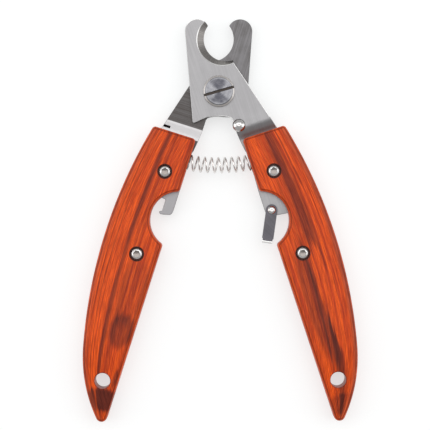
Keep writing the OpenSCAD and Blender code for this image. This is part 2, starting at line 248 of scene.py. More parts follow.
def dome(diameter: float, height: float, rim: float, steps: int = 8) -> list[Point]:
    """Returns the (radius, z) profile of a low dome with a soft rim, from z = 0."""
    half, nip, drawn_in = diameter / 2, 0.08, 0.985
    cap = height - rim
    ball = (half * half + cap * cap) / (2 * cap)
    swing = math.asin(half / ball)
    points = [(0.0, 0.0), (half - nip, 0.0), (half, nip), (half, rim * 0.8)]
    for i in range(steps + 1):
        a = swing * (1 - i / steps)
        points.append((ball * math.sin(a) * drawn_in, height - ball * (1 - math.cos(a))))
    return points


def prism(outline: list[Point], low: float, high: float) -> Mesh:
    """Returns an upright solid of an outline between two heights."""
    return rings_mesh([[(x, y, z) for x, y in outline] for z in (low, high)])


def moved(mesh: Mesh, matrix: Matrix) -> Mesh:
    """Moves a mesh by a matrix and returns it."""
    bmesh.ops.transform(mesh, matrix=matrix, verts=mesh.verts)
    return mesh


def new_object(name: str, mesh: Mesh) -> Piece:
    """Makes an object in the scene from a mesh, which is used up."""
    data = bpy.data.meshes.new(name)
    mesh.to_mesh(data)
    mesh.free()
    made = bpy.data.objects.new(name, data)
    bpy.context.scene.collection.objects.link(made)
    return made


def baked(piece: Piece) -> Piece:
    """Applies an object's modifiers to its mesh and removes them."""
    graph = bpy.context.evaluated_depsgraph_get()
    old = piece.data
    piece.data = bpy.data.meshes.new_from_object(
        piece.evaluated_get(graph), preserve_all_data_layers=True, depsgraph=graph
    )
    piece.modifiers.clear()
    bpy.data.meshes.remove(old)
    return piece


def cut(piece: Piece, tools: list[Mesh]) -> Piece:
    """Cuts solid tools out of a piece.

    Args:
        piece: The object that is cut.
        tools: Closed meshes in the same frame, which are used up.

    Returns:
        The piece, with plain mesh data.
    """
    for tool in tools:
        blade = new_object("tool", tool)
        modifier = piece.modifiers.new("cut", "BOOLEAN")
        modifier.operation = "DIFFERENCE"
        modifier.solver = "EXACT"
        modifier.object = blade
        baked(piece)
        data = blade.data
        bpy.data.objects.remove(blade)
        bpy.data.meshes.remove(data)
    return piece


def soften(piece: Piece, width: float, angle: float = 35) -> Piece:
    """Rounds a piece's sharp edges by a small width in its own units."""
    modifier = piece.modifiers.new("soften", "BEVEL")
    modifier.width = width
    modifier.segments = 2
    modifier.limit_method = "ANGLE"
    modifier.angle_limit = math.radians(angle)
    return baked(piece)


def shade_smooth(piece: Piece) -> Piece:
    """Shades all of a piece's faces smoothly."""
    for polygon in piece.data.polygons:
        polygon.use_smooth = True
    return piece


def smooth(piece: Piece, angle: float) -> Piece:
    """Shades a piece smoothly, but not across sharper edges, its flat faces staying flat."""
    shade_smooth(piece).data.set_sharp_from_angle(angle=math.radians(angle))
    weighted = piece.modifiers.new("even_normals", "WEIGHTED_NORMAL")
    weighted.keep_sharp = True
    weighted.weight = 80
    return piece


@dataclass(frozen=True)
class LeverFrame:
    """Puts a piece drawn in a lever's own frame where that lever lies.

    Attributes:
        pivot: The pivot in the row's frame, in metres.
        half_angle: Half of the angle between the open levers, in degrees.
    """

    pivot: Vector
    half_angle: float

    def matrix(self, side: Side, face: Face = Face.FRONT) -> Matrix:
        """Returns the matrix from a lever's frame in millimetres to the row's frame."""
        turn = Matrix.Rotation(math.radians(side.value * self.half_angle), 4, "Z")
        flip = Matrix.Diagonal((side.value * MM, MM, face.value * MM, 1))
        return Matrix.Translation(self.pivot) @ turn @ flip

    def place(self, piece: Piece, side: Side, face: Face = Face.FRONT) -> Piece:
        """Moves a piece's mesh to where its lever lies, keeping its faces outwards."""
        matrix = self.matrix(side, face)
        piece.data.transform(matrix)
        if matrix.determinant() < 0:
            piece.data.flip_normals()
        return piece


def hand_over(
    piece: Piece, body: str, material: Material, nodes: list[str]
) -> None:
    """Dresses a finished piece, hangs it on the body that it rides on and hides the CAD nodes that
    it stands for.
    """
    piece.data.materials.clear()
    piece.data.materials.append(material)
    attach(piece, body)
    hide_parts(*nodes)
    log.info("%s rides on %s, %d faces", piece.name, body, len(piece.data.polygons))


# ------------------------------------------------------------------ shader building


class NodeSheet:
    """Short ways to add and join nodes in a shader or geometry tree."""

    def __init__(self, tree: Tree) -> None:
        """Keeps the tree that nodes are added to."""
        self.tree = tree

    def add(self, kind: str, **settings: object) -> Node:
        """Adds a node of a kind and sets its properties."""
        node = self.tree.nodes.new(kind)
        for name, value in settings.items():
            setattr(node, name, value)
        return node

    def feed(self, socket: Socket, value: object) -> None:
        """Sets a socket to a value, or joins another socket to it."""
        if isinstance(value, Socket):
            self.tree.links.new(value, socket)
        elif value is not None:
            socket.default_value = value

    def math(
        self, operation: str, a: object, b: object = None, c: object = None, clamp: bool = False
    ) -> Socket:
        """Adds a Math node and returns its result."""
        node = self.add("ShaderNodeMath", operation=operation, use_clamp=clamp)
        for socket, value in zip(node.inputs, (a, b, c)):
            self.feed(socket, value)
        return node.outputs[0]

    def times(self, value: object, *others: object) -> Socket:
        """Multiplies values with each other, in order."""
        for other in others:
            value = self.math("MULTIPLY", value, other)
        return value

    def split(self, vector: object) -> tuple[Socket, ...]:
        """Adds a Separate XYZ node and returns its three values."""
        node = self.add("ShaderNodeSeparateXYZ")
        self.feed(node.inputs[0], vector)
        return tuple(node.outputs)

    def vector(self, operation: str, a: object, b: object = None, scale: object = None) -> Socket:
        """Adds a Vector Math node and returns its result."""
        node = self.add("ShaderNodeVectorMath", operation=operation)
        self.feed(node.inputs[0], a)
        self.feed(node.inputs[1], b)
        if scale is not None:
            self.feed(node.inputs["Scale"], scale)
        scalar = operation in ("LENGTH", "DISTANCE", "DOT_PRODUCT")
        return node.outputs["Value" if scalar else "Vector"]

    def combine(self, x: object = 0.0, y: object = 0.0, z: object = 0.0) -> Socket:
        """Adds a Combine XYZ node and returns its vector."""
        node = self.add("ShaderNodeCombineXYZ")
        for socket, value in zip(node.inputs, (x, y, z)):
            self.feed(socket, value)
        return node.outputs[0]

    def noise(
        self, vector: object, scale: float, detail: float = 3.0, rough: float = 0.5
    ) -> Socket:
        """Adds a Noise texture and returns its value."""
        node = self.add("ShaderNodeTexNoise")
        self.feed(node.inputs["Vector"], vector)
        node.inputs["Scale"].default_value = scale
        node.inputs["Detail"].default_value = detail
        node.inputs["Roughness"].default_value = rough
        return node.outputs["Fac"]

    def spread(
        self, value: object, low: float, high: float, out_low: object = 0.0, out_high: object = 1.0
    ) -> Socket:
        """Adds a smooth Map Range node from low..high and returns its result."""
        node = self.add("ShaderNodeMapRange", interpolation_type="SMOOTHSTEP")
        for socket, given in zip(node.inputs, (value, low, high, out_low, out_high)):
            self.feed(socket, given)
        return node.outputs[0]

    def mix(self, share: object, a: object, b: object, blend: str = "MIX") -> Socket:
        """Adds a colour Mix node and returns its colour; a tuple stands for an opaque colour."""
        node = self.add("ShaderNodeMix", data_type="RGBA", blend_type=blend)
        node.clamp_factor = True
        self.feed(node.inputs[0], share)
        for socket, value in ((node.inputs[6], a), (node.inputs[7], b)):
            self.feed(socket, (*value, 1) if isinstance(value, tuple) else value)
        return node.outputs[2]

    def bump(self, shader: Node, height: object, strength: float, depth: float) -> None:
        """Gives a shader its bumps, from a height and a depth in millimetres."""
        node = self.add("ShaderNodeBump")
        node.inputs["Strength"].default_value = strength
        node.inputs["Distance"].default_value = depth * MM
        self.feed(node.inputs["Height"], height)
        self.feed(shader.inputs["Normal"], node.outputs[0])

    def group(self, tree: Tree, **inputs: object) -> Node:
        """Places a node group and sets its named inputs, underscores standing for spaces."""
        kind = "ShaderNodeGroup" if tree.type == "SHADER" else "GeometryNodeGroup"
        node = self.add(kind, node_tree=tree)
        for name, value in inputs.items():
            self.feed(node.inputs[name.replace("_", " ")], value)
        return node


def group_tree(
    name: str,
    inputs: dict[str, tuple[str, object]],
    outputs: dict[str, str],
    kind: str = "ShaderNodeTree",
) -> tuple[NodeSheet, Node, Node]:
    """Starts a node group.

    Args:
        name: The group's name.
        inputs: Each input's name, with its socket type and default value.
        outputs: Each output's name, with its socket type.
        kind: The tree's type.

    Returns:
        The sheet to draw on, the group's input node and its output node.
    """
    tree = bpy.data.node_groups.new(name, kind)
    for label, (socket_type, value) in inputs.items():
        socket = tree.interface.new_socket(label, in_out="INPUT", socket_type=socket_type)
        if value is not None:
            socket.default_value = value
    for label, socket_type in outputs.items():
        tree.interface.new_socket(label, in_out="OUTPUT", socket_type=socket_type)
    sheet = NodeSheet(tree)
    return sheet, sheet.add("NodeGroupInput"), sheet.add("NodeGroupOutput")


def end_tree(sheet: NodeSheet, geometry: Socket, given: Node, result: Node) -> Tree:
    """Ends a Geometry Nodes tree by making its instances real and dressing them."""
    real = sheet.add("GeometryNodeRealizeInstances")
    sheet.feed(real.inputs[0], geometry)
    dressed = sheet.add("GeometryNodeSetMaterial")
    sheet.feed(dressed.inputs["Geometry"], real.outputs[0])
    sheet.feed(dressed.inputs["Material"], given.outputs["Finish"])
    sheet.feed(result.inputs[0], dressed.outputs[0])
    return sheet.tree


class Effects:
    """The node groups that more than one finish uses, each built once."""

    def __init__(self) -> None:
        """Builds the groups."""
        self.brushing = self._brushing()
        self.smudges = self._smudges()

    def _brushing(self) -> Tree:
        """Fine parallel grinding lines along X, as a shade and a height."""
        sheet, given, result = group_tree(
            "Brushed lines",
            {"Vector": (VECTOR, None), "Fineness": (FLOAT, 9.0), "Length": (FLOAT, 0.06)},
            {"Shade": FLOAT, "Height": FLOAT},
        )
        x, y, z = sheet.split(given.outputs["Vector"])
        along = sheet.times(x, given.outputs["Length"])
        across = sheet.times(y, given.outputs["Fineness"])
        fine = sheet.noise(sheet.combine(along, across, z), 1.0, 4.0, 0.7)
        wide = sheet.noise(
            sheet.combine(sheet.times(along, 0.5), sheet.times(across, 0.18), 7.0), 1.0, 2.0
        )
        shade = sheet.math("MULTIPLY_ADD", wide, 0.45, sheet.times(fine, 0.55))
        sheet.feed(result.inputs["Shade"], shade)
        sheet.feed(result.inputs["Height"], fine)
        return sheet.tree

    def _smudges(self) -> Tree:
        """Soft uneven patches, from handling and wear."""
        sheet, given, result = group_tree(
            "Handling marks", {"Vector": (VECTOR, None), "Size": (FLOAT, 6.0)}, {"Mask": FLOAT}
        )
        scaled = sheet.vector(
            "SCALE", given.outputs["Vector"], scale=sheet.math("DIVIDE", 1.0, given.outputs["Size"])
        )
        cloud = sheet.noise(scaled, 1.0, 5.0, 0.6)
        sheet.feed(result.inputs["Mask"], sheet.spread(cloud, 0.38, 0.68))
        return sheet.tree


def object_vector(
    sheet: NodeSheet, centre: Vector, turn: float = 0.0, side: Side = Side.RIGHT
) -> Socket:
    """Object coordinates in millimetres, from a centre in metres and turned in degrees."""
    mapping = sheet.add("ShaderNodeMapping", vector_type="TEXTURE")
    sheet.feed(mapping.inputs["Vector"], sheet.add("ShaderNodeTexCoord").outputs["Object"])
    mapping.inputs["Location"].default_value = centre
    mapping.inputs["Rotation"].default_value = (0, 0, math.radians(turn))
    mapping.inputs["Scale"].default_value = (side.value * MM, MM, MM)
    return mapping.outputs[0]


def lever_vector(sheet: NodeSheet, frame: LeverFrame, side: Side) -> Socket:
    """Object coordinates turned into a lever's own frame, in millimetres."""
    return object_vector(sheet, frame.pivot, side.value * frame.half_angle, side)


def new_material(name: str) -> tuple[Material, NodeSheet, Node]:
    """Makes a material and returns it with its sheet and its Principled shader."""
    material = bpy.data.materials.new(name)
    material.use_nodes = True
    sheet = NodeSheet(material.node_tree)
    return material, sheet, material.node_tree.nodes["Principled BSDF"]


@dataclass(frozen=True)
class Steel:
    """An uncoated metal finish.

    Attributes:
        name: The material's name.
        bright: Colour where the surface is cleanest.
        dull: Colour in the brushed lines and handling marks.
        roughness: Mean roughness.
        spread: How much the brushed lines change the roughness.
        bump: Depth of the brushed lines.
        fineness: Brushed lines to the millimetre, roughly.
        length: One over the lines' length in millimetres, roughly.
        turn: Direction of the lines from the lever's length, in degrees.
        marks: How strongly handling marks show.
        neck: Painted highlight on the bent neck's slope, brighter than the flat steel.
        neck_span: Where the neck starts and ends behind the pivot.
        cross_from: Where lines across the lever take over, behind the pivot.
        cross_dull_and_shade: Colour of the surface that those lines cover, darker partly as painted
            shade.
        grind: Colour of the cutting edge's hollow grind.
        pit: Middle of a recess with painted shade inside, and its half sizes.
        pit_shade: Colour of that painted shade.
        tab: Colour of the tab beyond the grip's front.
        tab_span: Where that colour starts and is full, behind the pivot.
        lip_highlight: Centre and distance from it beyond which a highlight is painted on the bar's
            bent lip.
        lip_highlight_colour: Colour of that painted highlight.
        edge_glint: Whether a highlight is painted on the broken edges ahead of the neck, least on
            the back.
        edge_glint_colour: Colour of that painted highlight.
        edge_glint_fade: Where across the lever the painted highlight starts to show and is full.
    """

    name: str
    bright: Colour
    dull: Colour
    roughness: float
    spread: float = 0.1
    bump: float = 0.05
    fineness: float = 9.0
    length: float = 0.06
    turn: float = 90.0
    marks: float = 0.15
    neck: Colour | None = None
    neck_span: Point = (-16.1, -21.0)
    cross_from: float | None = None
    cross_dull_and_shade: Colour = (0.1, 0.09, 0.085)
    grind: Colour | None = None
    pit: tuple[Point, Point] | None = None
    pit_shade: Colour = (0.006, 0.005, 0.005)
    tab: Colour | None = None
    tab_span: Point = (-28.0, -30.0)
    lip_highlight: tuple[Point, float] | None = None
    lip_highlight_colour: Colour = (0.9, 0.89, 0.88)
    edge_glint: bool = False
    edge_glint_colour: Colour = (0.95, 0.94, 0.93)
    edge_glint_fade: Point = (-4.5, -2.5)

    def material(self, effects: Effects, frame: LeverFrame, side: Side) -> Material:
        """Builds the material.

        Args:
            effects: The shared node groups.
            frame: Where the levers lie.
            side: The lever whose frame the lines follow.

        Returns:
            The finished material.
        """
        material, sheet, shader = new_material(self.name)
        place = lever_vector(sheet, frame, side)
        x, y, z = sheet.split(place)
        lines = self._lines(sheet, effects, place, self.turn)
        height = lines.outputs["Height"]
        marks = sheet.group(effects.smudges, Vector=place, Size=7.0)
        shade = sheet.math("MULTIPLY_ADD", marks.outputs["Mask"], self.marks, lines.outputs["Shade"])
        colour = sheet.mix(sheet.spread(shade, 0.38, 0.72), self.bright, self.dull)
        if self.cross_from is not None:
            crossed = self._lines(sheet, effects, place, 0.0)
            streaks = sheet.spread(crossed.outputs["Shade"], 0.38, 0.62)
            share = sheet.spread(y, self.cross_from + 1.0, self.cross_from - 1.0)
            # cross-brushed streaks behind the pivot, darkened partly as painted shade
            colour = sheet.mix(share, colour, sheet.mix(streaks, self.dull, self.cross_dull_and_shade))
            height = sheet.mix(share, height, crossed.outputs["Height"])
        if self.neck:
            # painted highlight on the bent neck's slope
            colour = sheet.mix(self._neck_highlight_mask(sheet, y), colour, self.neck)
        if self.tab:
            colour = sheet.mix(sheet.spread(y, *self.tab_span), colour, self.tab)
        if self.lip_highlight:
            # painted highlight along the lock bar's bend and lip, which is also made rougher
            lip_lit = self._lip_highlight_mask(sheet, place)
            colour = sheet.mix(lip_lit, colour, self.lip_highlight_colour)
            shade = sheet.math("MULTIPLY_ADD", lip_lit, 1.2, shade)
        if self.grind:
            colour = self._ground(sheet, colour, place, z)
        if self.edge_glint:
            # painted highlight on the broken edges, fading towards the blade's back
            colour = sheet.mix(self._edge_glint_mask(sheet, x, y, z), colour, self.edge_glint_colour)
        if self.pit:
            # painted shade inside the blind relief slot
            colour = sheet.mix(self._pit_shade_mask(sheet, x, y), colour, self.pit_shade)
        sheet.feed(shader.inputs["Base Color"], colour)
        shader.inputs["Metallic"].default_value = 1.0
        rough = sheet.math("MULTIPLY_ADD", shade, self.spread, self.roughness - self.spread / 2)
        sheet.feed(shader.inputs["Roughness"], rough)
        sheet.bump(shader, height, self.bump, 0.05)
        return material

    def _lines(self, sheet: NodeSheet, effects: Effects, place: Socket, turn: float) -> Node:
        """Places the brushed lines at an angle to the lever's length."""
        rotated = sheet.add("ShaderNodeVectorRotate", rotation_type="Z_AXIS")
        sheet.feed(rotated.inputs["Vector"], place)
        rotated.inputs["Angle"].default_value = math.radians(turn)
        return sheet.group(
            effects.brushing,
            Vector=rotated.outputs[0],
            Fineness=self.fineness,
            Length=self.length,
        )

    def _neck_highlight_mask(self, sheet: NodeSheet, y: Socket) -> Socket:
        """Marks the bent neck behind the pivot, where a highlight is painted."""
        (start, end), blur = self.neck_span, 0.35
        return sheet.times(sheet.spread(y, start, start - blur), sheet.spread(y, end, end + blur))

    def _lip_highlight_mask(self, sheet: NodeSheet, place: Socket) -> Socket:
        """Marks what lies far from a centre, as a swinging bar's lip does, for a painted highlight.
        """
        (centre, distance), blur = self.lip_highlight, 0.1
        flat = sheet.vector("MULTIPLY", place, (1, 1, 0))
        away = sheet.vector("DISTANCE", flat, (*centre, 0.0))
        return sheet.spread(away, distance - blur, distance + blur)

    def _ground(self, sheet: NodeSheet, colour: Socket, place: Socket, z: Socket) -> Socket:
        """Lays the hollow grind's colour and its fine strokes over a colour."""
        blade, skin = Blade(), 0.05
        middle = (blade.edge_c[0] - blade.bevel_lean, blade.edge_c[1], 0.0)
        flat = sheet.vector("SUBTRACT", sheet.vector("MULTIPLY", place, (1, 1, 0)), middle)
        reach = blade.edge_r + blade.bevel_w - 0.02
        inside = sheet.math("LESS_THAN", sheet.vector("LENGTH", flat), reach)
        below = sheet.math("LESS_THAN", z, blade.gap / 2 + blade.thickness - skin - 0.01)
        above = sheet.math("GREATER_THAN", z, blade.gap / 2 + skin)
        around = sheet.vector("NORMALIZE", flat)
        strokes = sheet.noise(sheet.vector("SCALE", around, scale=26.0), 1.0, 3.0, 0.7)
        shaded = tuple(part * 0.7 for part in self.grind)
        tone = sheet.mix(sheet.spread(strokes, 0.35, 0.65), self.grind, shaded)
        return sheet.mix(sheet.times(inside, below, above), colour, tone)

    def _edge_glint_mask(self, sheet: NodeSheet, x: Socket, y: Socket, z: Socket) -> Socket:
        """Marks the outer face's broken edges ahead of the neck for a painted highlight, least on
        the blade's back.
        """
        blade, blur, skin = Blade(), 0.03, 0.01
        top = blade.gap / 2 + blade.thickness
        start = top - blade.edge_break
        low = sheet.spread(z, start - blur, start + blur)
        high = sheet.math("LESS_THAN", z, top - skin)
        ahead = sheet.math("GREATER_THAN", y, -blade.joggle_start + blade.bend_r)
        return sheet.times(low, high, ahead, sheet.spread(x, *self.edge_glint_fade, 0.25, 0.85))

    def _pit_shade_mask(self, sheet: NodeSheet, x: Socket, y: Socket) -> Socket:
        """Marks a recess with straight sides, where shade is painted."""
        near = []
        for value, middle, half in zip((x, y), *self.pit):
            off = sheet.math("ABSOLUTE", sheet.math("SUBTRACT", value, middle))
            near.append(sheet.math("LESS_THAN", off, half))
        return sheet.times(*near)


@dataclass(frozen=True)
class TurnedSteel:
    """A lathe-turned finish, with marks in rings around a centre.

    Attributes:
        name: The material's name.
        bright: Colour of the ridges.
        dull: Colour of the grooves.
        roughness: Mean roughness.
        rings: Turning marks to the millimetre.
        reflection_wedge: How far a painted reflection darkens the face towards its top and bottom.
        cavity: Painted shade inside a socket, where the piece marks one.
        rim: Radius beyond which a highlight is painted on the bevel.
        bevel_highlight: Colour of that painted highlight.
        slot: Angle and width of a screwdriver slot, with painted shade inside.
        slot_shade: Colour of the painted shade in the slot.
    """

    name: str
    bright: Colour
    dull: Colour
    roughness: float
    rings: float = 7.0
    reflection_wedge: float = 0.0
    cavity: Colour | None = None
    rim: float | None = None
    bevel_highlight: Colour = (0.56, 0.53, 0.51)
    slot: tuple[float, float] | None = None
    slot_shade: Colour = (0.045, 0.038, 0.034)

    def material(self, centre: Vector) -> Material:
        """Builds the material around a centre in metres."""
        material, sheet, shader = new_material(self.name)
        place = object_vector(sheet, centre)
        flat = sheet.vector("MULTIPLY", place, (1, 1, 0))
        radius = sheet.vector("LENGTH", flat)
        marks = sheet.noise(sheet.combine(radius, 0.0, 0.0), self.rings, 3.0, 0.6)
        cloud = sheet.noise(place, 0.5, 4.0, 0.6)
        shade = sheet.math("MULTIPLY_ADD", cloud, 0.6, sheet.times(marks, 0.5))
        shade = sheet.spread(shade, 0.4, 0.72)
        # painted reflection: the turned face darker towards its top and bottom
        if self.reflection_wedge:
            across = sheet.vector("LENGTH", sheet.vector("MULTIPLY", flat, (0, 1, 0)))
            lean = sheet.math("DIVIDE", across, sheet.math("MAXIMUM", radius, 0.01))
            dark_reflection = sheet.times(
                sheet.spread(lean, 0.45, 1.0), sheet.spread(radius, 5.3, 3.9), self.reflection_wedge
            )
            shade = sheet.math("ADD", sheet.times(shade, 0.6), dark_reflection, clamp=True)
        colour = sheet.mix(shade, self.bright, self.dull)
        # painted highlight on the head's bevel
        if self.rim:
            ring = sheet.spread(radius, self.rim, self.rim + 0.15)
            colour = sheet.mix(ring, colour, self.bevel_highlight)
            shade = sheet.math("MAXIMUM", shade, ring)
        # painted shade inside the screwdriver slot
        if self.slot:
            angle, width = self.slot
            off = sheet.math("ABSOLUTE", sheet.split(object_vector(sheet, centre, angle))[1])
            within = sheet.math("LESS_THAN", off, width / 2 + 0.01)
            colour = sheet.mix(within, colour, self.slot_shade)
        # painted shade inside the hexagon socket
        if self.cavity:
            inside = sheet.add("ShaderNodeAttribute", attribute_name="cavity").outputs["Fac"]
            colour = sheet.mix(inside, colour, self.cavity)
        sheet.feed(shader.inputs["Base Color"], colour)
        shader.inputs["Metallic"].default_value = 1.0
        rough = sheet.math("MULTIPLY_ADD", shade, 0.12, self.roughness)
        sheet.feed(shader.inputs["Roughness"], rough)
        sheet.bump(shader, marks, 0.12, 0.04)
        return material


# ------------------------------------------------------------------ grips


@dataclass
class Grip:
    """One grip's wooden scales, in its lever's frame.

    Attributes:
        inner_x: Grip's inner edge.
        front_y: Grip's front edge.
        length: From the front edge to where the end starts to round in.
        width: Width at the widest.
        bulge_at: From the front edge to the widest place.
        side_r: Radius of the long outer curve.
        end_r: Radius of the curve towards the end.
        tip_r: Radius of the rounded end.
        thickness: Thickness of one scale.
        round_w: Width of the rounding along its edges.
        corner_r: Radius of its front corners.
        notch_c: Centre of the finger notch.
        notch_r: Radius of the finger notch.
        notch_corner_r: Radius of the corners beside the notch.
        screws: Centres of the two grip screws.
        counterbore_r: Radius of a counterbore.
        counterbore_h: Depth of a counterbore.
        bore_lip: Radius of a counterbore's rounded mouth.
        lanyard_in: Lanyard hole's distance from the inner edge.
        lanyard_from_end: Lanyard hole's distance from the grip's end.
        lanyard_r: Radius of the lanyard hole.
        lanyard_lip: Radius of the lanyard hole's rounded mouth.
        lanyard_wood: Wood between the hole and the tang's end.
        tang_inset: Width of wood outside the tang.
        tang_half: Half of the tang's thickness.
        seat_x: Floor of the spring's seat.
        seat_y: Height of the spring's seat along the lever.
        seat_r: Radius of the spring's seat.
    """

    inner_x: float = 2.75
    front_y: float = -20.4
    length: float = 89.0
    width: float = 22.4
    bulge_at: float = 44.6
    side_r: float = 190.0
    end_r: float = 56.0
    tip_r: float = 2.2
    thickness: float = 5.2
    round_w: float = 1.2
    corner_r: float = 1.35
    notch_c: Point = (-0.35, -52.2)
    notch_r: float = 11.1
    notch_corner_r: float = 1.3
    screws: tuple[Point, Point] = ((10.4, -35.8), (11.05, -69.3))
    counterbore_r: float = 2.8
    counterbore_h: float = 1.4
    bore_lip: float = 0.2
    lanyard_in: float = 6.0
    lanyard_from_end: float = 15.3
    lanyard_r: float = 3.0
    lanyard_lip: float = 0.45
    lanyard_wood: float = 13.0
    tang_inset: float = 2.8
    tang_half: float = 1.2
    seat_x: float = 5.25
    seat_y: float = -30.0
    seat_r: float = 3.6

    side_c: Point = field(init=False)
    end_c: Point = field(init=False)
    tip_c: Point = field(init=False)
    taper: float = field(init=False)
    lanyard_c: Point = field(init=False)

    def __post_init__(self) -> None:
        """Works out the places that follow from the sizes."""
        bulge_y = self.front_y - self.bulge_at
        self.side_c = (self.inner_x + self.width - self.side_r, bulge_y)
        self.taper = -math.degrees(math.asin((self.length - self.bulge_at) / self.side_r))
        self.end_c = polar(self.side_c, self.side_r - self.end_r, self.taper)
        tip_x = self.inner_x + self.tip_r
        run = tip_x - self.end_c[0]
        self.tip_c = (tip_x, self.end_c[1] - math.sqrt((self.end_r - self.tip_r) ** 2 - run**2))
        end_y = self.tip_c[1] - self.tip_r
        self.lanyard_c = (self.inner_x + self.lanyard_in, end_y + self.lanyard_from_end)

    def side_angle(self, y: float, inset: float = 0.0) -> float:
        """Returns the angle on the long outer curve at a height y."""
        return math.degrees(math.asin((y - self.side_c[1]) / (self.side_r - inset)))

    def notch_corner(self, ahead: int) -> Point:
        """Returns the centre of the small rounding beside the notch, ahead of it or behind."""
        x = self.inner_x + self.notch_corner_r
        reach = self.notch_r + self.notch_corner_r
        rise = math.sqrt(reach**2 - (x - self.notch_c[0]) ** 2)
        return (x, self.notch_c[1] + ahead * rise)

    def arcs(self) -> list[Arc]:
        """Returns the outline as a clockwise chain of arcs that touch each other."""
        r = self.corner_r
        inner = (self.inner_x + r, self.front_y - r)
        high = self.side_angle(self.front_y - r, r)
        outer = polar(self.side_c, self.side_r - r, high)
        tip_a = bearing(self.end_c, self.tip_c)
        low_c, high_c = self.notch_corner(-1), self.notch_corner(1)
        low_a, high_a = bearing(low_c, self.notch_c), bearing(high_c, self.notch_c) + 360
        return [
            Arc(inner, r, 180, 90, 6),
            Arc(outer, r, 90, high, 6),
            Arc(self.side_c, self.side_r, high, self.taper, 44),
            Arc(self.end_c, self.end_r, self.taper, tip_a, 26),
            Arc(self.tip_c, self.tip_r, tip_a, -180, 12),
            Arc(low_c, self.notch_corner_r, 180, low_a, 6),
            Arc(self.notch_c, self.notch_r, low_a - 180, high_a - 180, 30, hollow=True),
            Arc(high_c, self.notch_corner_r, high_a, 180, 6),
        ]

    def outline(self, inset: float = 0.0) -> list[Point]:
        """Returns the grip's outline, drawn in by an inset."""
        return [point for arc in self.arcs() for point in arc.points(inset)]

    def blank(self, name: str) -> Piece:
        """Returns a solid scale standing on the mid-plane, its edges rounded."""
        seam, steps = 0.12, 7
        levels = [(seam, 0.0), (0.0, seam)]
        for i in range(steps + 1):
            a = math.pi / 2 * i / steps
            rise = self.thickness - self.round_w * (1 - math.sin(a))
            levels.append((self.round_w * (1 - math.cos(a)), rise))
        rings = [[(x, y, z) for x, y in self.outline(inset)] for inset, z in levels]
        return new_object(name, rings_mesh(rings))

    def tang_pocket(self) -> Mesh:
        """Returns the pocket for the tang, open to the front and to the inner edge."""
        play = 0.05
        inset = self.tang_inset - play
        end = self.lanyard_c[1] + self.lanyard_r + self.lanyard_wood - play
        low, high = self.side_angle(end, inset), self.side_angle(self.front_y, inset)
        side = Arc(self.side_c, self.side_r - inset, low, high, 24).points()
        outline = [(0.0, self.front_y + 1), (0.0, end), *side, (side[-1][0], self.front_y + 1)]
        return prism(outline, -1.0, self.tang_half)

    def flared_hole(self, centre: Point, radius: float, floor: float, lip: float) -> Mesh:
        """Returns a round tool whose mouth flares at the scale's face.

        Args:
            centre: The hole's centre.
            radius: The hole's radius.
            floor: Height of the hole's floor.
            lip: Radius of the rounded mouth.

        Returns:
            The tool.
        """
        top, steps = self.thickness, 4
        profile = [(0.0, floor), (radius, floor)]
        for i in range(steps + 1):
            a = math.pi / 2 * i / steps
            profile.append((radius + lip * (1 - math.cos(a)), top - lip * (1 - math.sin(a))))
        profile += [(radius + lip, top + 1), (0.0, top + 1)]
        return moved(lathe(profile), Matrix.Translation((*centre, 0)))

    def scale(self, name: str) -> Piece:
        """Returns one finished scale, still in its lever's frame."""
        seat_axis = Matrix.Translation((self.seat_x, self.seat_y, 0)) @ Matrix.Rotation(
            math.radians(-90), 4, "Y"
        )
        depth = self.seat_x - self.inner_x + 1
        seat = lathe([(0, 0), (self.seat_r, 0), (self.seat_r, depth), (0, depth)])
        floor = self.thickness - self.counterbore_h
        tools = [self.tang_pocket(), moved(seat, seat_axis)]
        for centre in self.screws:
            tools.append(self.flared_hole(centre, self.counterbore_r, floor, self.bore_lip))
        tools.append(self.flared_hole(self.lanyard_c, self.lanyard_r, -1.0, self.lanyard_lip))
        return cut(self.blank(name), tools)

    def build(self, frame: LeverFrame, side: Side, material: Material) -> None:
        """Builds, places and hands over both of a lever's scales."""
        for face in Face:
            name = f"{side.name.lower()}_scale_{face.name.lower()}"
            piece = frame.place(self.scale(f"{name}_wood"), side, face)
            smooth(piece, 40)
            hand_over(piece, side.body, material, [name])


@dataclass(frozen=True)
class Knot:
    """A dark or bright patch in the wood's figure.

    Attributes:
        centre: Its middle, in the lever's frame.
        size: Half of its width and of its length.
        strength: How strongly it shows, negative where the wood is brighter.
    """

    centre: Point
    size: Point
    strength: float


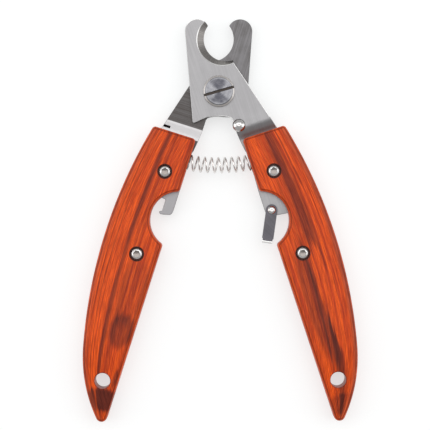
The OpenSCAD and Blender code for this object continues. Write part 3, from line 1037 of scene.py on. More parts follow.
@dataclass(frozen=True)
class Varnished:
    """Varnished laminated wood, whose figure follows the grip's two edges.

    Attributes:
        name: The material's name.
        bands: Dark bands, each with its place across the grip from its outer
            edge (0 to 1), its half width and its strength.
        knots: Patches in the figure.
        offset: Where in the noise this grip's figure is taken from.
        bright: Colour of the brightest streaks.
        middle: Colour of the other streaks.
        dark: Colour of the bands, the knots and the pores.
        edge: Painted highlight along the outer edge and in the rounding, paler than the wood.
        counterbore_shade: Painted shade inside the counterbores.
        shaded: What the darkest fibres leave of the colour.
        lit: What the palest fibres make of the colour.
    """

    name: str
    bands: tuple[tuple[float, float, float], ...]
    knots: tuple[Knot, ...]
    offset: float
    bright: Colour = (0.82, 0.105, 0.009)
    middle: Colour = (0.47, 0.043, 0.008)
    dark: Colour = (0.12, 0.019, 0.011)
    edge: Colour = (0.56, 0.105, 0.045)
    counterbore_shade: Colour = (0.09, 0.02, 0.012)
    shaded: Colour = (0.56, 0.47, 0.44)
    lit: Colour = (1.16, 1.16, 1.1)

    def material(self, frame: LeverFrame, side: Side, grip: Grip, effects: Effects) -> Material:
        """Builds the material for one grip.

        Args:
            frame: Where the levers lie.
            side: Which lever.
            grip: The grip, whose outline the figure follows.
            effects: The shared node groups.

        Returns:
            The finished material.
        """
        material, sheet, shader = new_material(self.name)
        place = lever_vector(sheet, frame, side)
        x, y, z = sheet.split(place)
        flat = sheet.combine(x, y, 0.0)
        from_outer = self._from_outer(sheet, flat, grip)
        from_inner = sheet.math("SUBTRACT", x, grip.inner_x)
        width = sheet.math("ADD", from_outer, from_inner)
        across = sheet.math("DIVIDE", from_outer, sheet.math("MAXIMUM", width, 1.0))

        sway = self._figure(sheet, (x, y), (0.07, 0.018), 2.0, 0.5)
        shift = sheet.times(sheet.math("SUBTRACT", sway, 0.5), 0.09)
        depth = sheet.math("SUBTRACT", grip.thickness, sheet.math("ABSOLUTE", z))
        warped = sheet.math("MULTIPLY_ADD", depth, 0.045, sheet.math("ADD", across, shift))
        outward = sheet.math("MULTIPLY_ADD", depth, 0.8, from_outer)
        inward = sheet.math("MULTIPLY_ADD", depth, 0.8, from_inner)
        streaks = self._figure(sheet, (warped, y), (24.0, 0.016), 5.0, 0.62)
        fibres = self._figure(sheet, (outward, y), (4.5, 0.16), 4.0, 0.7)
        pores = self._figure(sheet, (inward, y), (6.0, 0.5), 2.0, 0.5, 3.0)

        colour = sheet.mix(sheet.spread(streaks, 0.36, 0.66), self.bright, self.middle)
        colour = sheet.mix(self._darkness(sheet, warped, flat, streaks), colour, self.dark)
        # painted highlight: a paler band along the grip's outer edge
        rim = sheet.spread(sheet.math("ADD", from_outer, sheet.times(sway, 1.6)), 3.2, 1.6)
        colour = sheet.mix(sheet.times(rim, 0.55), colour, self.edge)
        colour = self._rounding(sheet, colour, depth)
        grain = sheet.mix(sheet.spread(fibres, 0.32, 0.7), self.shaded, self.lit)
        colour = sheet.mix(1.0, colour, grain, blend="MULTIPLY")
        pore = sheet.spread(pores, 0.66, 0.78)
        colour = sheet.mix(sheet.times(pore, 0.45), colour, self.dark)
        # painted shade inside each counterbore, around the screw head
        for centre in grip.screws:
            near = sheet.vector("DISTANCE", flat, (*centre, 0.0))
            wall = sheet.spread(near, grip.counterbore_r + 0.2, grip.counterbore_r + 0.02)
            colour = sheet.mix(wall, colour, self.counterbore_shade)
        sheet.feed(shader.inputs["Base Color"], colour)

        marks = sheet.group(effects.smudges, Vector=place, Size=9.0)
        rough = sheet.math("MULTIPLY_ADD", marks.outputs["Mask"], 0.12, 0.34)
        sheet.feed(shader.inputs["Roughness"], rough)
        shader.inputs["Coat Weight"].default_value = 0.16
        shader.inputs["Coat Roughness"].default_value = 0.12
        shader.inputs["Specular IOR Level"].default_value = 0.06
        sheet.bump(shader, sheet.math("SUBTRACT", fibres, pore), 0.18, 0.06)
        return material

    def _figure(
        self,
        sheet: NodeSheet,
        place: tuple[Socket, Socket],
        scales: Point,
        detail: float,
        rough: float,
        shift: float = 0.0,
    ) -> Socket:
        """Stretches noise along the grip.

        Args:
            sheet: Where nodes are added.
            place: Distances across and along the grip.
            scales: How fine the noise is across and along.
            detail: The noise's detail.
            rough: The noise's roughness.
            shift: How far from this grip's place in the noise it is taken.

        Returns:
            The noise's value.
        """
        stretched = [sheet.times(value, scale) for value, scale in zip(place, scales)]
        return sheet.noise(sheet.combine(*stretched, self.offset + shift), 1.0, detail, rough)

    def _rounding(self, sheet: NodeSheet, colour: Socket, depth: Socket) -> Socket:
        """Paints a paler highlight down the rounded edge, under a dark lamination line near its top.
        """
        # painted highlight on the rounding, then the dark lamination line
        colour = sheet.mix(sheet.spread(depth, 0.2, 0.34, 0.0, 0.5), colour, self.edge)
        under, over = sheet.spread(depth, 0.015, 0.05), sheet.spread(depth, 0.28, 0.16)
        return sheet.mix(sheet.times(under, over, 0.62), colour, self.dark)

    def _from_outer(self, sheet: NodeSheet, flat: Socket, grip: Grip) -> Socket:
        """Distance from the grip's outer edge, along its long curve and the curve of its end."""
        side, end = [
            sheet.math("SUBTRACT", radius, sheet.vector("DISTANCE", flat, (*centre, 0.0)))
            for radius, centre in ((grip.side_r, grip.side_c), (grip.end_r, grip.end_c))
        ]
        turn = math.radians(grip.taper)
        across_ray = (-math.sin(turn), math.cos(turn), 0.0)
        from_end = sheet.vector("SUBTRACT", flat, (*grip.end_c, 0.0))
        past = sheet.vector("DOT_PRODUCT", from_end, across_ray)
        beyond = sheet.math("LESS_THAN", past, 0.0)
        return sheet.math("ADD", side, sheet.times(beyond, sheet.math("SUBTRACT", end, side)))

    def _darkness(
        self, sheet: NodeSheet, across: Socket, flat: Socket, streaks: Socket
    ) -> Socket:
        """Share of dark wood: its bands along the grip, and its knots."""
        total: object = 0.0
        for middle, half, strength in self.bands:
            off = sheet.math("ABSOLUTE", sheet.math("SUBTRACT", across, middle))
            band = sheet.spread(off, half * 1.3, half * 0.35, 0.0, strength)
            total = sheet.math("ADD", total, band)
        ragged = sheet.times(sheet.math("SUBTRACT", streaks, 0.5), 1.5)
        for knot in self.knots:
            off = sheet.vector("SUBTRACT", flat, (*knot.centre, 0.0))
            local = sheet.vector("DIVIDE", off, (*knot.size, 1.0))
            reach = sheet.math("ADD", sheet.vector("LENGTH", local), ragged)
            total = sheet.math("ADD", total, sheet.spread(reach, 1.15, 0.75, 0.0, knot.strength))
        uneven = sheet.math("MULTIPLY_ADD", streaks, 0.9, 0.5)
        return sheet.math("MULTIPLY", total, uneven, clamp=True)


# ------------------------------------------------------------------ blades


@dataclass
class Blade:
    """One stamped steel plate: jaw, joggle and tang, in its lever's frame.

    Attributes:
        thickness: Thickness of the plate.
        gap: Running gap between the two blades.
        joggle_start: From the pivot to the joggle.
        joggle_len: Length of the joggle.
        bend_r: How far each bend's rounding reaches.
        hook_c: Centre of the rounded hook.
        hook_r: Radius of the hook.
        edge_c: Centre of the cutting edge.
        edge_r: Radius of the cutting edge.
        bevel_w: How much wider the hollow grind is at the outer face.
        bevel_lean: How far the grind leans towards the blade's back.
        edge_land: Height of the flat land at the cutting edge.
        corner_c: Centre of the rounded corner behind the pivot.
        corner_r: Radius of that corner.
        edge_break: Width of the broken edges.
        relief_x: Where the slot beside the rear blade's joggle starts.
        relief_w: Width of that slot.
        relief_depth: Depth of that slot.
        peg_w: Width of the peg inside the spring.
        peg_len: Length of that peg.
        rivet_c: Centre of the lock rivet in the right lever's tab.
        tab_r: Radius of that tab around the rivet.
    """

    thickness: float = 2.4
    gap: float = 0.06
    joggle_start: float = 16.3
    joggle_len: float = 3.9
    bend_r: float = 0.9
    hook_c: Point = (-0.7, 24.7)
    hook_r: float = 4.7
    edge_c: Point = (8.95, 18.45)
    edge_r: float = 8.6
    bevel_w: float = 1.25
    bevel_lean: float = 1.5
    edge_land: float = 0.25
    corner_c: Point = (-12.75, -8.0)
    corner_r: float = 0.6
    edge_break: float = 0.24
    relief_x: float = 13.7
    relief_w: float = 0.9
    relief_depth: float = 2.1
    peg_w: float = 3.4
    peg_len: float = 2.5
    rivet_c: Point = (5.0, -49.8)
    tab_r: float = 2.6

    def back_angle(self) -> float:
        """Returns the angle at which the straight back leaves the hook."""
        run = (self.corner_c[0] - self.hook_c[0], self.corner_c[1] - self.hook_c[1])
        swing = math.degrees(math.acos((self.hook_r - self.corner_r) / math.hypot(*run)))
        return 360 + math.degrees(math.atan2(run[1], run[0])) - swing

    def jaw(self) -> list[Point]:
        """Returns the blade's outline from the cutting edge round the hook to the arch."""
        back = self.back_angle()
        return [
            self.edge_c,
            *Arc(self.hook_c, self.hook_r, -10, back, 60).points(),
            *Arc(self.corner_c, self.corner_r, back, 276, 8).points(),
        ]

    def arch(self, grip: Grip) -> list[Point]:
        """Returns the arch below the pivot and the neck's inner edge."""
        foot = grip.seat_y + grip.seat_r + 0.5
        return [
            (-7.5, -8.0), (-2.6, -9.25), (-1.1, -9.75), (0.3, -10.5), (1.15, -11.1),
            (1.45, -12.0), (1.5, -self.joggle_start - 1), (1.8, grip.front_y),
            (grip.inner_x - 0.35, foot + 1), (grip.inner_x, foot),
        ]

    def seat(self, grip: Grip) -> list[Point]:
        """Returns the spring's seat with its peg, in the tang's inner edge."""
        high, low = grip.seat_y + grip.seat_r, grip.seat_y - grip.seat_r
        peg_x, half = grip.seat_x - self.peg_len, self.peg_w / 2
        return [
            (grip.inner_x, high), (grip.seat_x, high),
            (grip.seat_x, grip.seat_y + half), (peg_x, grip.seat_y + half),
            (peg_x, grip.seat_y - half), (grip.seat_x, grip.seat_y - half),
            (grip.seat_x, low), (grip.inner_x, low),
        ]

    def rivet_tab(self, grip: Grip) -> list[Point]:
        """Returns the right lever's tab, which carries the lock rivet."""
        low, under = grip.notch_c[1] - 0.8, grip.notch_c[0] + grip.notch_r
        return [
            (self.rivet_c[0] - self.tab_r, grip.notch_c[1] + grip.notch_r),
            *Arc(self.rivet_c, self.tab_r, 180, 285, 14).points(),
            (under + 0.4, low), (under + 1.2, low - 1.2),
        ]

    def hook_tab(self, grip: Grip) -> list[Point]:
        """Returns the left lever's tab, ending in the hook that the lock bar catches."""
        neck, throat, beak = 6.95, grip.notch_c[1] + 6.3, grip.notch_c[1] + 1
        reach = math.sqrt(grip.notch_r**2 - (throat - grip.notch_c[1]) ** 2)
        return [
            (grip.inner_x, grip.notch_c[1] + grip.notch_r), (grip.inner_x, beak + 1.7),
            (grip.inner_x + 0.22, beak + 0.75), (grip.inner_x + 0.75, beak),
            (neck - 1, beak - 0.6), (neck + 0.1, beak - 0.78), (neck + 0.6, beak - 0.6),
            (neck + 0.95, beak), (neck + 0.55, beak + 0.45), (neck, beak + 0.6),
            (neck, throat - 0.5), (neck + 0.14, throat - 0.14), (neck + 0.5, throat),
            (grip.notch_c[0] + reach + 1.2, throat),
        ]

    def outline(self, side: Side, grip: Grip) -> list[Point]:
        """Returns the whole plate's outline, clockwise from the jaw."""
        tab = self.rivet_tab(grip) if side is Side.RIGHT else self.hook_tab(grip)
        end = grip.lanyard_c[1] + grip.lanyard_r + grip.lanyard_wood
        inner = grip.notch_c[1] - grip.notch_r - 1
        inset = grip.tang_inset
        low, high = grip.side_angle(end, inset), grip.side_angle(grip.front_y, inset)
        side_edge = Arc(grip.side_c, grip.side_r - inset, low, high, 24).points()
        behind = grip.notch_c[0] + grip.notch_r + 1.2
        return [
            *self.jaw(), *self.arch(grip), *self.seat(grip), *tab,
            (behind, inner + 3), (grip.inner_x + 2.0, inner), (grip.inner_x, inner - 1.4),
            (grip.inner_x, end + 3), (grip.inner_x + 3, end), *side_edge, (8.9, 8.6),
        ]

    def lift(self, y: float) -> float:
        """Returns the height of the plate's underside at a place along the lever."""
        high, low = self.gap / 2, -self.thickness / 2
        middle = -self.joggle_start - self.joggle_len / 2
        share = (y - middle) / self.joggle_len + 0.5
        soft = self.bend_r / self.joggle_len
        if share <= -soft or share >= 1 + soft:
            return high if share > 0.5 else low
        if share < soft:
            eased = (share + soft) ** 2 / (4 * soft)
        elif share > 1 - soft:
            eased = 1 - (1 + soft - share) ** 2 / (4 * soft)
        else:
            eased = share
        return low + (high - low) * eased

    def plate(self, name: str, side: Side, grip: Grip) -> Piece:
        """Returns the plate with its edges broken and its neck bent, before the grind."""
        outline = self.outline(side, grip)[::-1]
        nip, top = self.edge_break, self.thickness
        knee = nip * 0.3
        levels = [(nip, 0.0), (knee, knee), (0.0, nip)]
        levels += [(inset, top - z) for inset, z in levels[::-1]]
        mesh = rings_mesh([[(x, y, z) for x, y in offset(outline, inset)] for inset, z in levels])
        first = -self.joggle_start + self.bend_r
        last = -self.joggle_start - self.joggle_len - self.bend_r
        cuts = 16
        for i in range(cuts + 1):
            y = first + (last - first) * i / cuts
            whole = [*mesh.verts, *mesh.edges, *mesh.faces]
            bmesh.ops.bisect_plane(mesh, geom=whole, plane_co=(0, y, 0), plane_no=(0, 1, 0))
        for vertex in mesh.verts:
            vertex.co.z += self.lift(vertex.co.y)
        return new_object(name, mesh)

    def grind_tool(self) -> Mesh:
        """Returns the leaning cone that grinds the cutting edge."""
        low, top = self.gap / 2, self.gap / 2 + self.thickness
        x, y = self.edge_c
        leaned, wide = x - self.bevel_lean, self.edge_r + self.bevel_w
        lip_w, lip_h = 0.16, 0.1
        stack = [
            (x, self.edge_r, low - 1), (x, self.edge_r, low + self.edge_land),
            (leaned, wide, top - lip_h), (leaned, wide + lip_w, top + 0.01),
            (leaned, wide + lip_w, top + 1),
        ]
        return rings_mesh([circle((middle, y), radius, z, 144) for middle, radius, z in stack])

    def relief_tool(self, grip: Grip) -> Mesh:
        """Returns the tool for the blind slot beside the rear blade's joggle."""
        low = -self.joggle_start - self.joggle_len + self.relief_w
        near, far = self.relief_x, self.relief_x + grip.width
        slot = [(near, low), (near, low + self.relief_w), (far, low + self.relief_w), (far, low)]
        face_z = -self.thickness / 2
        return prism(slot, face_z - 2, face_z + self.relief_depth)

    def build(self, frame: LeverFrame, side: Side, grip: Grip, material: Material) -> None:
        """Builds, places and hands over one lever's blade."""
        front = side is Side.RIGHT
        node = "front_blade" if front else "rear_blade"
        piece = cut(self.plate(f"{node}_steel", side, grip), [self.grind_tool()])
        if not front:
            cut(piece, [self.relief_tool(grip)])
        frame.place(piece, side, Face.FRONT if front else Face.BACK)
        smooth(piece, 30)
        hand_over(piece, side.body, material, [node])


# ------------------------------------------------------------------ fasteners


@dataclass
class PivotScrew:
    """The slotted screw that the levers turn on, and its nut, centred on the pivot.

    Attributes:
        head_d: Diameter of the head.
        head_h: Height of the head.
        bevel_w: Width of the bevel around it.
        bevel_h: Height of that bevel.
        slot_w: Width of the slot.
        slot_depth: Depth of the slot.
        slot_angle: Angle at which the slot stopped.
        seat_z: Height that the head sits on.
        shoulder_z: Height of the shoulder's end.
        thread_d: Diameter of the thread.
        nut_af: Width of the nut across its flats.
        nut_t: Thickness of the nut.
        nut_angle: Angle at which the nut stopped.
    """

    head_d: float = 12.0
    head_h: float = 2.0
    bevel_w: float = 0.9
    bevel_h: float = 0.5
    slot_w: float = 0.9
    slot_depth: float = 1.0
    slot_angle: float = 15.7
    seat_z: float = Blade.gap / 2 + Blade.thickness
    shoulder_z: float = -2.48
    thread_d: float = 4.0
    nut_af: float = 8.0
    nut_t: float = 1.9
    nut_angle: float = 18.0

    def build(self, frame: LeverFrame, finish: Material, nut_finish: Material) -> None:
        """Builds, places and hands over the screw and its nut."""
        half, soft = self.head_d / 2, 0.12
        top = self.seat_z + self.head_h
        thread = self.thread_d / 2
        end = self.shoulder_z - self.nut_t - 0.2
        profile = [
            (0.0, end), (thread - 0.3, end), (thread, end + 0.3), (thread, self.shoulder_z),
            (2.5, self.shoulder_z), (2.5, self.seat_z), (half - soft, self.seat_z),
            (half, self.seat_z + soft), (half, top - self.bevel_h - soft),
            (half - soft * 0.4, top - self.bevel_h),
            (half - self.bevel_w + soft, top - soft * 0.35),
            (half - self.bevel_w - soft, top), (0.0, top),
        ]
        piece = new_object("pivot_screw_turned", lathe(profile, 128))
        turn = Matrix.Rotation(math.radians(self.slot_angle), 4, "Z")
        low, wide, soft = top - self.slot_depth, self.slot_w / 2, 0.1
        section = [(-wide, low), (-wide, top - soft), (-wide - soft, top), (-wide - soft, top + 1),
                   (wide + soft, top + 1), (wide + soft, top), (wide, top - soft), (wide, low)]
        rings = [[(x, y, z) for y, z in section] for x in (-self.head_d, self.head_d)]
        cut(piece, [moved(rings_mesh(rings), turn)])
        frame_matrix = Matrix.Translation(frame.pivot) @ Matrix.Scale(MM, 4)
        piece.data.transform(frame_matrix)
        smooth(piece, 25)
        hand_over(piece, Side.RIGHT.body, finish, ["pivot_screw"])

        nut = self._nut()
        nut.data.transform(frame_matrix)
        smooth(nut, 25)
        hand_over(nut, Side.RIGHT.body, nut_finish, ["pivot_nut"])

    def _nut(self) -> Piece:
        """Returns the chamfered hexagon nut behind the rear blade."""
        high, low = self.shoulder_z, self.shoulder_z - self.nut_t
        corner = self.nut_af / math.sqrt(3)
        hexagon = [polar((0, 0), corner, 60 * i + self.nut_angle) for i in range(6)]
        nut = new_object("pivot_nut_hexagon", prism(hexagon[::-1], low, high))
        inner, outer = self.nut_af / 2, corner + 2
        rise = (outer - inner) * 0.5
        chamfer = [(0, low - 1), (outer, low - 1), (outer, low + rise), (inner, low), (0, low)]
        cut(nut, [lathe(chamfer, 96)])
        bore, lead = self.thread_d / 2 + 0.02, 0.3
        hole = [(0, low - 1), (bore + lead, low - 1), (bore + lead, low), (bore, low + lead),
                (bore, high + 1), (0, high + 1)]
        return soften(cut(nut, [lathe(hole, 64)]), 0.08)


@dataclass
class GripScrews:
    """The domed socket screws that clamp the scales, and their barrel nuts.

    Attributes:
        head_d: Diameter of a head.
        head_h: Height of a head.
        head_z: Height that the head sits on.
        socket_af: Width of the hexagon socket.
        socket_h: Depth of the socket's flats.
        shank_d: Diameter of the screw's shank.
        barrel_d: Diameter of the barrel nut.
    """

    head_d: float = 4.8
    head_h: float = 1.25
    head_z: float = 3.8
    socket_af: float = 2.5
    socket_h: float = 0.7
    shank_d: float = 2.4
    barrel_d: float = 3.6

    def part(self, name: str, shank_d: float) -> Piece:
        """Returns one screw or nut standing on the mid-plane, its head up."""
        end, top = 0.6, self.head_z + self.head_h
        profile = [(0.0, end), (shank_d / 2, end), (shank_d / 2, self.head_z)]
        profile += [(r, z + self.head_z) for r, z in dome(self.head_d, self.head_h, 0.45)[1:]]
        piece = new_object(name, lathe(profile, 72))
        corner = self.socket_af / math.sqrt(3)
        mouth, flare, taper = top - 0.2, 0.2, 0.35
        floor = top - self.socket_h
        sizes = (
            (corner - taper, floor - 0.15), (corner, floor), (corner, mouth),
            (corner + flare, top + 0.1), (corner + flare, top + 1),
        )
        rings = [[(*polar((0, 0), size, -60 * i), z) for i in range(6)] for size, z in sizes]
        shade_smooth(cut(piece, [rings_mesh(rings)]))
        # marks the socket's inside, where shade is painted
        inside = piece.data.attributes.new("cavity", "FLOAT", "POINT")
        for vertex, value in zip(piece.data.vertices, inside.data):
            reach = math.hypot(vertex.co.x, vertex.co.y)
            value.value = float(reach < corner + 0.05 and vertex.co.z < mouth - 0.05)
        return piece

    def tree(self) -> Tree:
        """Returns the Geometry Nodes tree that puts a copy of a part at each point."""
        sheet, given, result = group_tree(
            "Fasteners on points",
            {
                "Points": (GEOMETRY, None), "Part": ("NodeSocketObject", None),
                "Turn": (FLOAT, None), "Finish": (MATERIAL, None),
            },
            {"Mesh": GEOMETRY},
            "GeometryNodeTree",
        )
        first_turn = 0.35
        part = sheet.add("GeometryNodeObjectInfo")
        sheet.feed(part.inputs["Object"], given.outputs["Part"])
        copies = sheet.add("GeometryNodeInstanceOnPoints")
        sheet.feed(copies.inputs["Points"], given.outputs["Points"])
        sheet.feed(copies.inputs["Instance"], part.outputs["Geometry"])
        index = sheet.add("GeometryNodeInputIndex").outputs[0]
        angle = sheet.math("MULTIPLY_ADD", index, given.outputs["Turn"], first_turn)
        sheet.feed(copies.inputs["Rotation"], sheet.combine(0.0, 0.0, angle))
        return end_tree(sheet, copies.outputs[0], given, result)

    def build(self, frame: LeverFrame, grip: Grip, finish: Material) -> None:
        """Builds, places and hands over the screws and the nuts of both levers."""
        tree = self.tree()
        kinds = ((Face.FRONT, "screw", self.shank_d), (Face.BACK, "nut", self.barrel_d))
        for face, kind, shank_d in kinds:
            part = self.part(f"grip_{kind}", shank_d)
            for side in Side:
                points = bmesh.new()
                for centre in grip.screws:
                    points.verts.new((*centre, 0.0))
                name = f"{side.name.lower()}_{kind}s"
                piece = new_object(name, points)
                run_tree(piece, tree, {"Part": part, "Turn": 0.5 * side.value, "Finish": finish})
                frame.place(piece, side, face)
                piece.data.set_sharp_from_angle(angle=math.radians(28))
                nodes = [f"{side.name.lower()}_{kind}_{place}" for place in ("upper", "lower")]
                hand_over(piece, side.body, finish, nodes)
            bpy.data.objects.remove(part)


def run_tree(piece: Piece, tree: Tree, values: dict[str, object]) -> Piece:
    """Runs a Geometry Nodes tree on an object and keeps the result as its mesh.

    Args:
        piece: The object.
        tree: The tree.
        values: The tree's inputs by name.

    Returns:
        The object, with no modifier left on it.
    """
    modifier = piece.modifiers.new("nodes", "NODES")
    modifier.node_group = tree
    sockets = {
        item.name: item.identifier
        for item in tree.interface.items_tree
        if item.item_type == "SOCKET" and item.in_out == "INPUT"
    }
    for name, value in values.items():
        modifier[sockets[name]] = value
    piece.update_tag()
    bpy.context.view_layer.update()
    return baked(piece)


@dataclass
class StopPin:
    """The domed pin that the rear blade stops against.

    Attributes:
        centre: Its centre in the right lever's frame.
        head_d: Diameter of the dome.
        head_h: Height of the dome.
        seat_z: Height that it sits on.
        shank_d: Diameter of the shank through the blade.
        shoulder_d: Diameter of the shoulder behind the blade.
        shoulder_z: Height of the shoulder's end.
        dimple_d: Diameter of the dimple in the dome.
    """

    centre: Point = (3.2, -14.9)
    head_d: float = 5.0
    head_h: float = 1.7
    seat_z: float = Blade.gap / 2 + Blade.thickness
    shank_d: float = 2.2
    shoulder_d: float = 3.3
    shoulder_z: float = -2.4
    dimple_d: float = 0.9

    def build(self, frame: LeverFrame, finish: Material) -> None:
        """Builds, places and hands over the pin."""
        low, shank, shoulder = self.shoulder_z, self.shank_d / 2, self.shoulder_d / 2
        nip, under = 0.15, Blade.gap / 2
        profile = [(0.0, low), (shoulder - nip, low), (shoulder, low + nip),
                   (shoulder, under), (shank, under), (shank, self.seat_z)]
        crown = [(r, z + self.seat_z) for r, z in dome(self.head_d, self.head_h, 0.35, 16)[1:]]
        dimple = self.dimple_d / 2
        profile += [p for p in crown if p[0] > dimple + 0.12]
        top = self.seat_z + self.head_h
        profile += [(dimple + 0.08, top - 0.03), (dimple, top - 0.12),
                    (dimple * 0.7, top - 0.34), (0.0, top - 0.4)]
        mesh = moved(lathe(profile, 96), Matrix.Translation((*self.centre, 0)))
        piece = frame.place(new_object("stop_pin_dome", mesh), Side.RIGHT)
        smooth(piece, 40)
        hand_over(piece, Side.RIGHT.body, finish, ["stop_pin"])


# ------------------------------------------------------------------ lock


@dataclass
class Lock:
    """The swinging lock bar and the rivet that it turns on.

    Attributes:
        rivet_c: The rivet's centre in the right lever's frame.
        rivet_d: Diameter of the rivet's shank.
        head_d: Diameter of the rivet's heads.
        length: From the rivet to the outside of the lip.
        width: Width of the bar.
        thickness: Thickness of the bar.
        lip_w: Width of the bent lip.
        lip_run: Length of the narrow part ahead of the bend.
        bend_r: Outer radius of the bend.
        rest_angle: Angle of the resting bar from the grip's inner edge.
        bar_z: Height of the bar's underside.
        lip_z: Height of the lip's end.
        crown_h: Height of the rivet's upper head.
        foot_h: Height of its lower head.
        foot_z: Height of the face that the lower head sits on.
        dimple_r: Radius of the dimple in the upper head.
    """

    rivet_c: Point = Blade.rivet_c
    rivet_d: float = 2.0
    head_d: float = 3.1
    length: float = 13.1
    width: float = 4.4
    thickness: float = 0.9
    lip_w: float = 3.8
    lip_run: float = 1.0
    bend_r: float = 0.75
    rest_angle: float = 26.2
    bar_z: float = 1.25
    lip_z: float = -0.8
    crown_h: float = 1.0
    foot_h: float = 0.8
    foot_z: float = -1.2
    dimple_r: float = 0.35

    def section(self) -> list[Point]:
        """Returns the bar's long section, (distance from the rivet, height)."""
        top, outer = self.bar_z + self.thickness, self.length
        inner = outer - self.thickness
        bend = Arc((outer - self.bend_r, top - self.bend_r), self.bend_r, 90, 0, 6).points()
        return [
            (-self.width / 2 - 1, self.bar_z), (-self.width / 2 - 1, top), *bend,
            (outer, self.lip_z + 0.12), (outer - 0.12, self.lip_z), (inner + 0.1, self.lip_z),
            (inner, self.lip_z + 0.1), (inner, self.bar_z - 0.1), (inner - 0.1, self.bar_z),
        ]

    def build(
        self, frame: LeverFrame, bar_finish: Material, rivet_finish: Material
    ) -> None:
        """Builds, places and hands over the bar and the rivet."""
        centre = Matrix.Translation((*self.rivet_c, 0))
        turn = Matrix.Rotation(math.radians(-90 - self.rest_angle), 4, "Z")
        bar = self._bar()
        bar.data.transform(centre @ turn)
        frame.place(bar, Side.RIGHT)
        smooth(bar, 30)
        hand_over(bar, "lock", bar_finish, ["lock_bar"])

        mesh = moved(lathe(self._rivet_profile(), 72), centre)
        rivet = frame.place(new_object("lock_rivet_dome", mesh), Side.RIGHT)
        smooth(rivet, 40)
        hand_over(rivet, Side.RIGHT.body, rivet_finish, ["lock_rivet"])

    def _bar(self) -> Piece:
        """Returns the bar lying along X from its rivet, with its round end and narrow lip."""
        half, low, high = self.width / 2, -3.0, 4.0
        rings = [[(x, y, z) for x, z in self.section()] for y in (-half, half)]
        bar = new_object("lock_bar_steel", rings_mesh(rings))
        round_end = Arc((0.0, 0.0), half, 90, 270, 24).points()
        behind = [(-half - 2, -half - 1), (-half - 2, half + 1), (0.0, half + 1)]
        waste = [prism([*behind, *round_end, (0.0, -half - 1)], low, high)]
        step = self.length - self.thickness - self.lip_run
        for sign in (1, -1):
            near, far = sorted((sign * self.lip_w / 2, sign * (half + 1)))
            corner = [(step, near), (step, far), (step + 5, far), (step + 5, near)]
            waste.append(prism(corner, low, high))
        bore = self.rivet_d / 2 + 0.05
        waste.append(lathe([(0, low), (bore, low), (bore, high), (0, high)], 48))
        return soften(cut(bar, waste), 0.1, 40)

    def _rivet_profile(self) -> list[Point]:
        """Returns the rivet's profile, from the lower head to the dimple in the upper one."""
        top, shank = self.bar_z + self.thickness + 0.05, self.rivet_d / 2
        foot = dome(self.head_d, self.foot_h, 0.25, 8)[:0:-1]
        crown = dome(self.head_d, self.crown_h, 0.3, 12)[1:]
        return [
            *[(r, self.foot_z - z) for r, z in foot],
            (shank, self.foot_z), (shank, top),
            *[(r, z + top) for r, z in crown if r > self.dimple_r + 0.1],
            (self.dimple_r, top + self.crown_h - 0.12), (0.0, top + self.crown_h - 0.22),
        ]


# ------------------------------------------------------------------ spring


